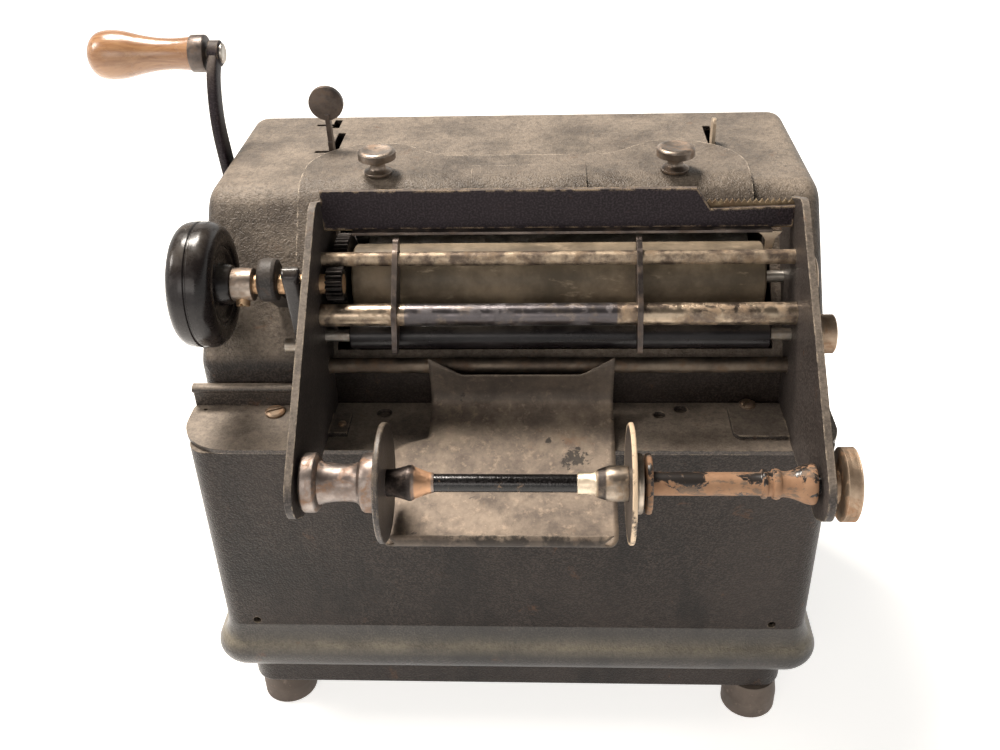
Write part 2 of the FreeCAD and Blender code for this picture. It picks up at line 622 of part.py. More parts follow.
# ---------------------------------------------------------------- platen and its hand wheel
PLATEN_X = (-91.0, 145.0)
keep("platen_shaft", cyl_x(-110.5, 163, PLATEN_AXIS, 3.5))
platen = turned([(PLATEN_X[0], PLATEN_R - 1), (PLATEN_X[0] + 1, PLATEN_R), (PLATEN_X[1] - 1, PLATEN_R),
                 (PLATEN_X[1], PLATEN_R - 1)], PLATEN_AXIS)
keep("platen_roller", platen.cut(cyl_x(-120, 170, PLATEN_AXIS, 3.5)))
to_platen = math.atan2(PLATEN_AXIS[1] - HAND_AXIS[1], PLATEN_AXIS[0] - HAND_AXIS[0])
keep("platen_gear", spur_gear(PLATEN_TEETH, GEAR_MODULE, -101, 8, PLATEN_AXIS,
                              to_platen + math.pi + math.pi / PLATEN_TEETH, 3.5))
keep("hand_pinion", spur_gear(HAND_TEETH, GEAR_MODULE, -101.6, 9.2, HAND_AXIS, to_platen, HAND_SHAFT_R))

keep("hand_shaft", cyl_x(-176, -92.4, HAND_AXIS, HAND_SHAFT_R))
hand_bore = cyl_x(-200, -90, HAND_AXIS, HAND_SHAFT_R)
tyre = turned([(-184, 27), (-183.6, 30.5), (-181, 34.0), (-177, 35.3), (-172.4, 35.5), (-172, 34.9),
               (-171.2, 34.9), (-170.8, 35.5), (-165, 35.2), (-161.5, 33.4), (-159.2, 30.5), (-159, 24.6)],
              HAND_AXIS)
tyre_hole = cyl_x(-190, -150, HAND_AXIS, 22.0)
keep("hand_wheel_tyre", tyre.cut(tyre_hole))
hub = turned([(-182, 22.0), (-161, 22.0), (-160.6, 20.5), (-161.6, 19.5), (-162.4, 12.0), (-155.2, 11.0)],
             HAND_AXIS)
keep("hand_wheel_hub", hub.cut(cyl_x(-176, -100, HAND_AXIS, HAND_SHAFT_R)))
collar = turned([(-155.2, 9.0), (-154.8, 9.4), (-143.6, 9.4), (-143.2, 9.0)], HAND_AXIS).cut(hand_bore)
SCREW_TURN = math.radians(235)
seat = V(-149.5, HAND_AXIS[0] + 7.0 * math.cos(SCREW_TURN), HAND_AXIS[1] + 7.0 * math.sin(SCREW_TURN))
outwards = V(0, math.cos(SCREW_TURN), math.sin(SCREW_TURN))
set_screw = Part.makeCylinder(3.9, 5.2, seat, outwards)
keep("hand_collar", collar.cut(set_screw))
slot = box(-0.7, 0.7, -5, 5, -1.0, 1.0)
slot.Placement = FreeCAD.Placement(seat + outwards * 5.2, FreeCAD.Rotation(Z_AXIS, outwards))
keep("hand_set_screw", set_screw.cut(slot))

# bearing eye for the hand-wheel shaft on a stalk from the slope
EYE = (HAND_AXIS[0] + 1.5, HAND_AXIS[1] + 2.0)
reach = (SLOPE_Z - EYE[1]) * math.cos(SLOPE_ANGLE) - (SLOPE_Y - EYE[0]) * math.sin(SLOPE_ANGLE)
reach = abs(reach) - 0.02
stalk = box(-140, -129, 0, reach, -8, 8)
stalk.rotate(V(0, 0, 0), X_AXIS, math.degrees(SLOPE_ANGLE) - 90)
stalk.translate(V(0, EYE[0], EYE[1]))
lug = turned([(-140, 9.7), (-139.2, 11.5), (-137.5, 12.2), (-131.5, 12.2), (-129.8, 11.5),
              (-129, 9.7)], EYE).fuse(stalk)
keep("shaft_lug", lug.cut(cyl_x(-150, -120, HAND_AXIS, HAND_SHAFT_R + RUN)).removeSplitter())

# release lever on its own stud outside the left plate
lever_top = (22.0, 331.0)
arm_run = math.atan2(lever_top[1] - RELEASE_AXIS[1], lever_top[0] - RELEASE_AXIS[0])
ay = -math.sin(arm_run)
az = math.cos(arm_run)
lever = side_plate([(RELEASE_AXIS[0] + ay * 4.0, RELEASE_AXIS[1] + az * 4.0, 0),
                    (RELEASE_AXIS[0] - ay * 4.0, RELEASE_AXIS[1] - az * 4.0, 0),
                    (lever_top[0] - ay * 4.6, lever_top[1] - az * 4.6, 0),
                    (lever_top[0] + ay * 4.6, lever_top[1] + az * 4.6, 0)], -121, 9.5)
lever = lever.fuse(turned([(-122, 3.0), (-121.4, 4.6), (-119.8, 5.4), (-113, 5.4), (-111.6, 4.6),
                           (-111, 3.0)], lever_top)).fuse(cyl_x(-121, -111.5, RELEASE_AXIS, 7.5))
keep("release_lever", lever.cut(cyl_x(-130, -100, RELEASE_AXIS, 4.0 + RUN)).removeSplitter())
release_stud = cyl_x(-128, PLATE_LEFT_X, RELEASE_AXIS, 4.0)

# ---------------------------------------------------------------- inside the case
INNER_BORES = ((DRUM_AXIS, 5.0 + RUN), (CRANK_AXIS, CRANK_SHAFT_R + RUN), (INK_AXIS, 3.5 + RUN))
for name, x0 in (("inner_frame_left", INNER_LEFT_X), ("inner_frame_right", INNER_RIGHT_X)):
    frame = side_plate([(INNER_Y[0], PAN_BOTTOM + PAN_WALL, 6), (INNER_Y[1], PAN_BOTTOM + PAN_WALL, 6),
                        (INNER_Y[1], 320, 20), (INNER_Y[0] + 8, 320, 16), (INNER_Y[0] + 2, 300, 8)],
                       x0, INNER_T)
    for axis, radius in INNER_BORES:
        frame = frame.cut(cyl_x(x0 - 1, x0 + INNER_T + 1, axis, radius))
    opening = side_plate([(120, 70, 12), (216, 70, 12), (216, 200, 12), (120, 200, 12)], x0 - 1, INNER_T + 2)
    keep(name, frame.cut(opening))
bars = []
for y, z in ((108, 45), (228, 45), (228, 215)):
    bars.append(cyl_x(INNER_LEFT_X + INNER_T, INNER_RIGHT_X, (y, z), 6))
keep("tie_bars", *bars)

keep("drum_shaft", cyl_x(-150, 156, DRUM_AXIS, 5.0))
drum_bore = cyl_x(-160, 160, DRUM_AXIS, 5.0)
drum = cyl_x(-88, 142, DRUM_AXIS, DRUM_R).cut(cyl_x(-84, 138, DRUM_AXIS, DRUM_R - 3))
keep("print_drum", drum.cut(drum_bore))
keep("ink_roller", cyl_x(-84, 138, INK_AXIS, INK_R).fuse(cyl_x(-136, 156, INK_AXIS, 3.5)).removeSplitter())
to_crank = math.atan2(CRANK_AXIS[1] - DRUM_AXIS[1], CRANK_AXIS[0] - DRUM_AXIS[0])
keep("drum_gear", spur_gear(DRUM_TEETH, CRANK_MODULE, -149, 8, DRUM_AXIS, to_crank, 5.0))
crank_gear = spur_gear(CRANK_TEETH, CRANK_MODULE, -149.5, 9, CRANK_AXIS,
                       to_crank + math.pi + math.pi / CRANK_TEETH, CRANK_SHAFT_R)
for i in range(5):
    out = polar(25, 2 * math.pi * i / 5)
    hole_axis = (CRANK_AXIS[0] + out.y, CRANK_AXIS[1] + out.z)
    crank_gear = crank_gear.cut(cyl_x(-155, -135, hole_axis, 8))
keep("crank_gear", crank_gear)
bush = cyl_x(-187.5, -178, CRANK_AXIS, CRANK_SHAFT_R + 3).fuse(
    turned([(-189.4, 12), (-188.9, 13), (-187.5, 13)], CRANK_AXIS))
keep("crank_bush", bush.cut(cyl_x(-200, -170, CRANK_AXIS, CRANK_SHAFT_R + RUN)).removeSplitter())
keep("crank_shaft", cyl_x(-196, 156, CRANK_AXIS, CRANK_SHAFT_R))


def bowed_arm():
    """Flat crank arm that bows forward between its hub and the grip's pin."""
    centre = [V(0, CRANK_AXIS[0], CRANK_AXIS[1]), V(0, 191, 318), V(0, 184, 358), V(0, 190, 386),
              V(0, GRIP_AXIS[0], GRIP_AXIS[1])]
    spine = Part.BSplineCurve()
    spine.interpolate(centre)
    left = []
    right = []
    steps = 24
    first = spine.FirstParameter
    span = spine.LastParameter - first
    for i in range(steps + 1):
        at = first + span * i / steps
        here = spine.value(at)
        run = V(spine.tangent(at)[0])
        half = 8.5 - 2.5 * i / steps
        left.append(here + V(0, -run.z, run.y) * half)
        right.append(here - V(0, -run.z, run.y) * half)
    edge_a = Part.BSplineCurve()
    edge_a.interpolate(left)
    edge_b = Part.BSplineCurve()
    edge_b.interpolate(right[::-1])
    outline = Part.Wire([edge_a.toShape(), Part.makeLine(left[-1], right[-1]), edge_b.toShape(),
                         Part.makeLine(right[0], left[0])])
    arm = Part.Face(outline).extrude(V(ARM_X[1] - ARM_X[0], 0, 0))
    arm.translate(V(ARM_X[0], 0, 0))
    return arm


arm = bowed_arm().fuse(cyl_x(ARM_X[0] - 0.5, -189.9, CRANK_AXIS, 13)).fuse(
    cyl_x(ARM_X[0] - 0.4, ARM_X[1] + 0.6, GRIP_AXIS, 8.2))
arm = arm.cut(cyl_x(-196, -180, CRANK_AXIS, CRANK_SHAFT_R)).cut(cyl_x(-220, -180, GRIP_AXIS, GRIP_PIN_R))
keep("crank_arm", arm.removeSplitter())
keep("grip_pin", cyl_x(-272, -189.9, GRIP_AXIS, GRIP_PIN_R).fuse(
    turned([(-189.9, 6.2), (-188.7, 6.2), (-188.1, 4.8)], GRIP_AXIS)).removeSplitter())
grip_hole = cyl_x(-272.6, -150, GRIP_AXIS, GRIP_PIN_R + RUN)
GRIP_FORM = [(GRIP_END_X, 6.0), (GRIP_END_X + 1.4, 10.2), (GRIP_END_X + 4.5, 13.4), (GRIP_END_X + 10, 15.4),
             (GRIP_END_X + 16, 15.7), (GRIP_END_X + 24, 14.8), (GRIP_END_X + 34, 12.4),
             (GRIP_END_X + 44, 10.6), (GRIP_END_X + 54, 9.9), (GRIP_END_X + 62, 10.2),
             (GRIP_END_X + 68, 10.9)]
keep("crank_grip", turned(GRIP_FORM, GRIP_AXIS).cut(grip_hole))
ferrule = turned([(GRIP_END_X + 68, 11.4), (GRIP_END_X + 69, 11.8), (GRIP_START_X - 1.0, 11.8),
                  (GRIP_START_X, 11.0)], GRIP_AXIS)
keep("grip_ferrule", ferrule.cut(grip_hole))

# selector lever through the left slot
stud_x = INNER_LEFT_X + INNER_T
keep("lever_studs", cyl_x(stud_x, -112, SELECTOR_PIVOT, 3.0), cyl_x(120, INNER_RIGHT_X, BLADE_PIVOT, 3.0),
     release_stud)
stem_tilt = math.degrees(math.atan2(6.0, 77.0))
selector = box(SELECTOR_X - 1.5, SELECTOR_X + 1.5, -3.5, 3.5, 0, 66)
selector = selector.fuse(cyl_x(SELECTOR_X - 3, SELECTOR_X + 3, (0, 0), 8))
selector = selector.fuse(box(SELECTOR_X - 1.5, SELECTOR_X + 1.5, -2.6, 2.6, 60, 84))
paddle = Part.makeCylinder(11.0, 3.0, V(SELECTOR_X, 1.5, 91), V(0, -1, 0))
selector = selector.fuse(paddle).cut(cyl_x(-130, -100, (0, 0), 3.0 + RUN)).removeSplitter()
selector.rotate(V(0, 0, 0), X_AXIS, stem_tilt)
selector.translate(V(0, SELECTOR_PIVOT[0], SELECTOR_PIVOT[1]))
keep("selector_lever", selector)

# bright blade lever through the right slot
blade = side_plate([(-4, 0, 0), (4, 0, 0), (5.5, 50, 2), (5.5, 68, 4), (-3.5, 71, 3), (-4.5, 50, 2)],
                   BLADE_X - 1.1, 2.2)
blade = blade.fuse(cyl_x(BLADE_X - 3, BLADE_X + 3, (0, 0), 8)).cut(cyl_x(110, 140, (0, 0), 3.0 + RUN))
blade = blade.removeSplitter()
blade.rotate(V(0, 0, 0), X_AXIS, 3.0)
blade.translate(V(0, BLADE_PIVOT[0], BLADE_PIVOT[1]))
keep("blade_lever", blade)

# ---------------------------------------------------------------- origin and output
X_MIN = GRIP_END_X
X_MAX = CASE_RIGHT_X + RIM_OUT
Y_MIN = SPINDLE[0] - DISC_R
Y_MAX = CASE_DEPTH + RIM_OUT
SHIFT = V(-(X_MIN + X_MAX) / 2, -(Y_MIN + Y_MAX) / 2, 0)

os.makedirs("parts", exist_ok=True)
for name, piece in PIECES.items():
    piece.translate(SHIFT)
    piece.exportStep("parts/" + name + ".step")
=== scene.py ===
"""A hand-cranked paper roll printing machine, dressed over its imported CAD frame."""
import json
import math

import bpy
import bmesh
from mathutils import Matrix, Vector


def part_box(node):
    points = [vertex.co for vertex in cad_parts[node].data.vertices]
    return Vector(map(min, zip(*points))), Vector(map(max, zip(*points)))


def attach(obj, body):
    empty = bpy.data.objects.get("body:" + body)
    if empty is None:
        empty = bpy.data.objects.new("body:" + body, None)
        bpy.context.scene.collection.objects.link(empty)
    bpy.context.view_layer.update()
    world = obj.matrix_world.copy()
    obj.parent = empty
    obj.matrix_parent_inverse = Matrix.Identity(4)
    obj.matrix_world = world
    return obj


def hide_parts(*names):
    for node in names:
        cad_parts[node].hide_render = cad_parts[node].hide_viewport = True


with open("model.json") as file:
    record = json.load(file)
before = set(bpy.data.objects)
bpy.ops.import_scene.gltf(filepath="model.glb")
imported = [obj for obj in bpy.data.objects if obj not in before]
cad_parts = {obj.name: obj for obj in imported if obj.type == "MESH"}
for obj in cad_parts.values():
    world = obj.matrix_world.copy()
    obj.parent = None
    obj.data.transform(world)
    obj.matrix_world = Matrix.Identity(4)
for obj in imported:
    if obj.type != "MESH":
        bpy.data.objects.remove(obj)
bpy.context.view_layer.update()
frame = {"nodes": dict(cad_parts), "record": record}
NODES = frame["nodes"]

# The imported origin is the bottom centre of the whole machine. Drawing coordinates are millimetres, with X = 0
# 1.5 mm to the right of the case's middle, Y = 0 at the case's front face and Z = 0 on the table.
ORIGIN_X = 41.75
ORIGIN_Y = -86.0

# axes of the turned parts, as drawing (Y, Z), and the radius where the right disc's rim is rubbed bare
SPINDLE = (-58.0, 254.0)
HAND = (42.0, 316.0)
FEEDER = (39.0, 284.2)
RUBBED_RIM = 29.6
# bores of the pieces that sit on a pin or a shaft
SPINDLE_BORE = 4.65
RIGHT_FLANGE_BORE = 4.71
GRIP_BORE = 4.06
LEVER_BORE = 4.06


def place(x, y, z):
    """Drawing coordinates in millimetres to the row frame in metres."""
    return Vector(((x + ORIGIN_X) / 1000, (y + ORIGIN_Y) / 1000, z / 1000))


# ------------------------------------------------------------------ materials
BEVEL_SAMPLES = 4


class Recipe:
    """A node material under construction."""

    def __init__(self, name):
        self.material = bpy.data.materials.new(name)
        self.material.use_nodes = True
        self.tree = self.material.node_tree
        self.shader = self.tree.nodes["Principled BSDF"]
        self.coordinates = self.node("ShaderNodeTexCoord").outputs["Object"]

    def node(self, kind, **settings):
        made = self.tree.nodes.new(kind)
        for key, value in settings.items():
            setattr(made, key, value)
        return made

    def plug(self, value, socket):
        """Links a socket to another, or sets its value."""
        if isinstance(value, bpy.types.NodeSocket):
            self.tree.links.new(value, socket)
        else:
            socket.default_value = value

    def stretched(self, scale):
        mapping = self.node("ShaderNodeMapping")
        self.plug(self.coordinates, mapping.inputs["Vector"])
        mapping.inputs["Scale"].default_value = scale
        return mapping.outputs["Vector"]

    def noise(self, scale, detail=4.0, roughness=0.55, distortion=0.0, where=None):
        made = self.node("ShaderNodeTexNoise")
        self.plug(where or self.coordinates, made.inputs["Vector"])
        made.inputs["Scale"].default_value = scale
        made.inputs["Detail"].default_value = detail
        made.inputs["Roughness"].default_value = roughness
        made.inputs["Distortion"].default_value = distortion
        return made.outputs["Fac"]

    def remap(self, value, low, high, to_low=0.0, to_high=1.0):
        made = self.node("ShaderNodeMapRange")
        made.interpolation_type = "SMOOTHSTEP"
        self.plug(value, made.inputs["Value"])
        made.inputs["From Min"].default_value = low
        made.inputs["From Max"].default_value = high
        made.inputs["To Min"].default_value = to_low
        made.inputs["To Max"].default_value = to_high
        return made.outputs["Result"]

    def calc(self, operation, a, b=0.0, clamp=False):
        made = self.node("ShaderNodeMath", operation=operation, use_clamp=clamp)
        self.plug(a, made.inputs[0])
        self.plug(b, made.inputs[1])
        return made.outputs[0]

    def blend(self, amount, a, b):
        made = self.node("ShaderNodeMix", data_type="RGBA")
        self.plug(amount, made.inputs[0])
        self.plug(a if isinstance(a, bpy.types.NodeSocket) else (*a, 1.0), made.inputs[6])
        self.plug(b if isinstance(b, bpy.types.NodeSocket) else (*b, 1.0), made.inputs[7])
        return made.outputs[2]

    def band(self, x0, x1):
        """1 between two X positions given in drawing millimetres, with a soft border."""
        soft = 0.0006
        split = self.node("ShaderNodeSeparateXYZ")
        self.plug(self.coordinates, split.inputs[0])
        start = (x0 + ORIGIN_X) / 1000
        end = (x1 + ORIGIN_X) / 1000
        rising = self.remap(split.outputs["X"], start - soft, start + soft)
        falling = self.remap(split.outputs["X"], end - soft, end + soft, 1.0, 0.0)
        return self.calc("MULTIPLY", rising, falling)

    def beyond(self, axis, radius):
        """1 outside a radius (mm) round an X axis given as drawing (Y, Z), with a soft border."""
        soft = 0.0004
        offset = self.node("ShaderNodeVectorMath", operation="SUBTRACT")
        self.plug(self.coordinates, offset.inputs[0])
        offset.inputs[1].default_value = (0.0, (axis[0] + ORIGIN_Y) / 1000, axis[1] / 1000)
        flat = self.node("ShaderNodeVectorMath", operation="MULTIPLY")
        self.plug(offset.outputs[0], flat.inputs[0])
        flat.inputs[1].default_value = (0.0, 1.0, 1.0)
        size = self.node("ShaderNodeVectorMath", operation="LENGTH")
        self.plug(flat.outputs[0], size.inputs[0])
        return self.remap(size.outputs["Value"], radius / 1000 - soft, radius / 1000 + soft)

    def near(self, spot, reach, ragged, stretch=(1.0, 1.0, 1.0)):
        """1 at a drawing point, falling to 0 at reach (mm) with a ragged outline."""
        offset = self.node("ShaderNodeVectorMath", operation="SUBTRACT")
        self.plug(self.coordinates, offset.inputs[0])
        offset.inputs[1].default_value = place(*spot)
        shaped = self.node("ShaderNodeVectorMath", operation="MULTIPLY")
        self.plug(offset.outputs[0], shaped.inputs[0])
        shaped.inputs[1].default_value = stretch
        size = self.node("ShaderNodeVectorMath", operation="LENGTH")
        self.plug(shaped.outputs[0], size.inputs[0])
        wobble = self.calc("MULTIPLY", self.calc("SUBTRACT", self.noise(240.0, 5.0, 0.7), 0.5), ragged / 1000)
        ragged_size = self.calc("ADD", size.outputs["Value"], wobble)
        return self.remap(ragged_size, reach / 2000, reach / 1000, 1.0, 0.0)

    def upward(self, low=0.35, high=0.95):
        """1 where the surface faces up, 0 on walls and undersides."""
        geometry = self.node("ShaderNodeNewGeometry")
        split = self.node("ShaderNodeSeparateXYZ")
        self.plug(geometry.outputs["Normal"], split.inputs[0])
        return self.remap(split.outputs["Z"], low, high)

    def edges(self, radius, low=0.02, high=0.30):
        """1 along worn edges: where the surface turns within radius."""
        bevel = self.node("ShaderNodeBevel", samples=BEVEL_SAMPLES)
        bevel.inputs["Radius"].default_value = radius
        geometry = self.node("ShaderNodeNewGeometry")
        dot = self.node("ShaderNodeVectorMath", operation="DOT_PRODUCT")
        self.plug(bevel.outputs["Normal"], dot.inputs[0])
        self.plug(geometry.outputs["Normal"], dot.inputs[1])
        return self.remap(self.calc("SUBTRACT", 1.0, dot.outputs["Value"]), low, high)

    def height(self, value, strength, distance, soft_edge=0.0):
        bump = self.node("ShaderNodeBump")
        self.plug(value, bump.inputs["Height"])
        bump.inputs["Strength"].default_value = strength
        bump.inputs["Distance"].default_value = distance
        if soft_edge:
            bevel = self.node("ShaderNodeBevel", samples=BEVEL_SAMPLES)
            bevel.inputs["Radius"].default_value = soft_edge
            self.plug(bevel.outputs["Normal"], bump.inputs["Normal"])
        self.plug(bump.outputs["Normal"], self.shader.inputs["Normal"])

    def finish(self, color, roughness, metallic=0.0):
        self.plug(color, self.shader.inputs["Base Color"])
        self.plug(roughness, self.shader.inputs["Roughness"])
        self.plug(metallic, self.shader.inputs["Metallic"])
        return self.material


def worn_paint(name, paint, worn, dust, dust_amount, gloss, edge=0.0012, rust=(0.16, 0.075, 0.035),
               rust_amount=0.35, pebble=0.3, specular=0.3, grime=0.0, rubbed_beyond=None):
    """Old black enamel: mottled sheen, dust on top faces, rubbed edges and small rust freckles.
    grime is the depth of tall dark clouds; rubbed_beyond is an axis and a radius outside which the paint is
    rubbed off in patches."""
    r = Recipe(name)
    broad = r.noise(9.0, 6.0, 0.6)
    fine = r.noise(160.0, 5.0, 0.65)
    grain = r.noise(900.0, 2.0, 0.5)
    mottled = r.blend(r.remap(broad, 0.38, 0.68), paint, tuple(min(1.0, c * 1.8 + 0.006) for c in paint))
    speckled = r.blend(r.remap(grain, 0.42, 0.66, 0.0, 0.75), mottled, tuple(c * 3.4 + 0.012 for c in paint))
    streaks = r.remap(r.noise(26.0, 6.0, 0.6, where=r.stretched((1.0, 1.0, 0.4))), 0.45, 0.66, 0.0, grime)
    speckled = r.blend(streaks, speckled, tuple(c * 0.3 for c in paint))
    clouds = r.remap(r.noise(30.0, 8.0, 0.70), 0.30, 0.64, 0.38, 1.0)
    settled = r.calc("MULTIPLY", r.upward(0.2, 0.95), clouds)
    settled = r.calc("MULTIPLY", settled, r.remap(r.noise(420.0, 4.0, 0.7), 0.30, 0.62, 0.55, 1.0))
    settled = r.calc("MULTIPLY", settled, dust_amount)
    dusty = r.blend(settled, speckled, dust)
    chipped = r.calc("MULTIPLY", r.edges(edge), r.remap(fine, 0.42, 0.60), clamp=True)
    if rubbed_beyond:
        rim = r.calc("MULTIPLY", r.beyond(*rubbed_beyond), r.remap(r.noise(90.0, 6.0, 0.7), 0.40, 0.50))
        chipped = r.calc("MAXIMUM", chipped, rim)
    bare = r.blend(chipped, dusty, worn)
    freckles = r.remap(r.noise(70.0, 8.0, 0.72, 0.6), 0.61, 0.72)
    freckles = r.calc("MULTIPLY", freckles, rust_amount)
    color = r.blend(freckles, bare, rust)
    rough = r.calc("ADD", gloss, r.remap(broad, 0.3, 0.7, 0.0, 0.16))
    rough = r.calc("ADD", rough, r.calc("MULTIPLY", settled, 0.30))
    rough = r.calc("ADD", rough, r.calc("MULTIPLY", freckles, 0.35), clamp=True)
    relief = r.calc("ADD", r.calc("MULTIPLY", fine, 0.7), r.calc("MULTIPLY", grain, 0.8))
    relief = r.calc("ADD", relief, r.calc("MULTIPLY", chipped, -0.4))
    r.height(relief, pebble, 0.0009, soft_edge=0.0009)
    r.shader.inputs["Specular IOR Level"].default_value = specular
    return r.finish(color, rough)


def aged_metal(name, bright, tarnish, rust, rust_amount, gloss, lathe=False, zones=(),
               patches=(38.0, 0.36, 0.64)):
    """Bare or plated metal with tarnish clouds, rust bloom, fine scratches and brighter rubbed edges.
    zones are (x0, x1, color) bands of another tone; patches is cloud scale and threshold."""
    r = Recipe(name)
    size, low, high = patches
    clouds = r.noise(size, 7.0, 0.66)
    fine = r.noise(420.0, 4.0, 0.6)
    scratch = r.noise(60.0, 3.0, 0.6, where=r.stretched((1.0, 14.0, 14.0) if lathe else (14.0, 1.0, 14.0)))
    base = r.blend(r.remap(clouds, low, high), bright, tarnish)
    bloom = r.remap(r.noise(95.0, 9.0, 0.74, 0.4), 0.47, 0.64)
    bloom = r.calc("MULTIPLY", bloom, rust_amount)
    rusty = r.blend(bloom, base, rust)
    for x0, x1, tone in zones:
        patchy = r.remap(r.noise(120.0, 6.0, 0.7), 0.30, 0.52, 0.55, 1.0)
        rusty = r.blend(r.calc("MULTIPLY", r.band(x0, x1), patchy), rusty, tone)
    rubbed = r.calc("MULTIPLY", r.edges(0.0008), r.remap(fine, 0.35, 0.65), clamp=True)
    color = r.blend(r.calc("MULTIPLY", rubbed, 0.7), rusty, tuple(min(1.0, c * 1.6 + 0.04) for c in bright))
    rough = r.calc("ADD", gloss, r.calc("MULTIPLY", clouds, 0.18))
    rough = r.calc("ADD", rough, r.calc("MULTIPLY", bloom, 0.38), clamp=True)
    relief = r.calc("ADD", r.calc("MULTIPLY", bloom, 0.7), r.calc("MULTIPLY", scratch, 0.12))
    relief = r.calc("ADD", relief, r.calc("MULTIPLY", fine, 0.22))
    r.height(relief, 0.35, 0.0004, soft_edge=0.0005)
    return r.finish(color, rough, r.calc("SUBTRACT", 0.95, r.calc("MULTIPLY", bloom, 0.75)))


def rubber(name, dark, light, gloss, streaks=False, coat=0.0):
    """Aged rubber or ebonite: cloudy tone, fine grain and faint scuffs."""
    r = Recipe(name)
    clouds = r.noise(26.0, 7.0, 0.62)
    scuff = r.noise(140.0, 6.0, 0.7, where=r.stretched((0.35, 1.0, 1.0)) if streaks else None)
    color = r.blend(r.remap(clouds, 0.34, 0.68), dark, light)
    color = r.blend(r.calc("MULTIPLY", r.remap(scuff, 0.56, 0.74), 0.5), color,
                    tuple(min(1.0, c * 2.1 + 0.02) for c in light))
    dust = r.calc("MULTIPLY", r.upward(0.5, 1.0), r.remap(clouds, 0.4, 0.7, 0.02, 0.16))
    color = r.blend(dust, color, (0.42, 0.36, 0.28))
    rough = r.calc("ADD", gloss, r.remap(scuff, 0.35, 0.7, 0.0, 0.22), clamp=True)
    relief = r.calc("ADD", r.noise(700.0, 3.0), r.calc("MULTIPLY", scuff, 0.7))
    r.height(relief, 0.16, 0.0005, soft_edge=0.0006)
    r.shader.inputs["Specular IOR Level"].default_value = 0.22
    r.shader.inputs["Coat Weight"].default_value = coat
    r.shader.inputs["Coat Roughness"].default_value = 0.14
    return r.finish(color, rough)


def turned_wood(name):
    """Varnished beech worn through in places, with grain that runs along the grip."""
    r = Recipe(name)
    along = r.stretched((1.0, 7.0, 7.0))
    rings = r.noise(22.0, 6.0, 0.62, 1.4, where=along)
    pores = r.noise(150.0, 5.0, 0.65, where=r.stretched((0.9, 9.0, 9.0)))
    color = r.blend(r.remap(rings, 0.32, 0.68), (0.37, 0.20, 0.098), (0.24, 0.115, 0.052))
    color = r.blend(r.calc("MULTIPLY", r.remap(pores, 0.55, 0.72), 0.6), color, (0.13, 0.055, 0.024))
    stains = r.remap(r.noise(34.0, 7.0, 0.7, 0.3), 0.56, 0.68)
    color = r.blend(r.calc("MULTIPLY", stains, 0.55), color, (0.13, 0.065, 0.035))
    pale = r.remap(r.noise(16.0, 4.0, 0.6), 0.52, 0.66)
    color = r.blend(r.calc("MULTIPLY", pale, 0.5), color, (0.42, 0.24, 0.125))
    rough = r.calc("ADD", 0.26, r.calc("MULTIPLY", stains, 0.3), clamp=True)
    r.height(r.calc("ADD", pores, r.calc("MULTIPLY", stains, 0.5)), 0.22, 0.0004)
    r.shader.inputs["Coat Weight"].default_value = 0.35
    r.shader.inputs["Coat Roughness"].default_value = 0.2
    return r.finish(color, rough)


def stained_tin(name):
    """Dull tinned sheet with tarnish clouds, rust, ink spots, an ink splash, a stained lip, worn edges and
    painted shade on its steep walls.
    """
    r = Recipe(name)
    clouds = r.noise(26.0, 8.0, 0.74, 0.1)
    speckle = r.noise(210.0, 6.0, 0.7)
    color = r.blend(r.remap(clouds, 0.33, 0.66), (0.255, 0.20, 0.15), (0.095, 0.074, 0.06))
    color = r.blend(r.calc("MULTIPLY", r.remap(speckle, 0.52, 0.70), 0.55), color, (0.38, 0.29, 0.21))
    ink = r.remap(r.noise(58.0, 7.0, 0.68, 1.0), 0.645, 0.69)
    color = r.blend(r.calc("MULTIPLY", ink, 0.85), color, (0.018, 0.016, 0.016))
    rust = r.remap(r.noise(33.0, 8.0, 0.7), 0.60, 0.72)
    color = r.blend(r.calc("MULTIPLY", rust, 0.5), color, (0.20, 0.10, 0.045))
    splash = r.calc("MAXIMUM", r.near((37.0, -9.0, 232.0), 6.5, 30.0), r.near((22.0, 2.0, 236.0), 2.5, 9.0))
    lip = r.near((5.0, -63.0, 218.0), 46.0, 90.0, (0.8, 5.0, 5.0))
    lip = r.calc("MULTIPLY", lip, r.remap(r.noise(95.0, 6.0, 0.7), 0.44, 0.56))
    color = r.blend(r.calc("MULTIPLY", r.calc("MAXIMUM", splash, lip), 0.85), color, (0.016, 0.014, 0.012))
    # painted shade: the steep, front-facing walls of the sheet are darkened where less light falls on them
    color = r.blend(r.remap(r.upward(0.3, 0.85), 0.0, 1.0, 0.62, 0.0), color, (0.035, 0.028, 0.024))
    worn = r.edges(0.0012, 0.015, 0.25)
    color = r.blend(r.calc("MULTIPLY", worn, 0.6), color, (0.42, 0.36, 0.28))
    rough = r.calc("ADD", 0.46, r.calc("MULTIPLY", clouds, 0.25), clamp=True)
    r.height(r.calc("ADD", speckle, r.calc("MULTIPLY", clouds, 1.2)), 0.22, 0.0008, soft_edge=0.0006)
    return r.finish(color, rough, 0.45)


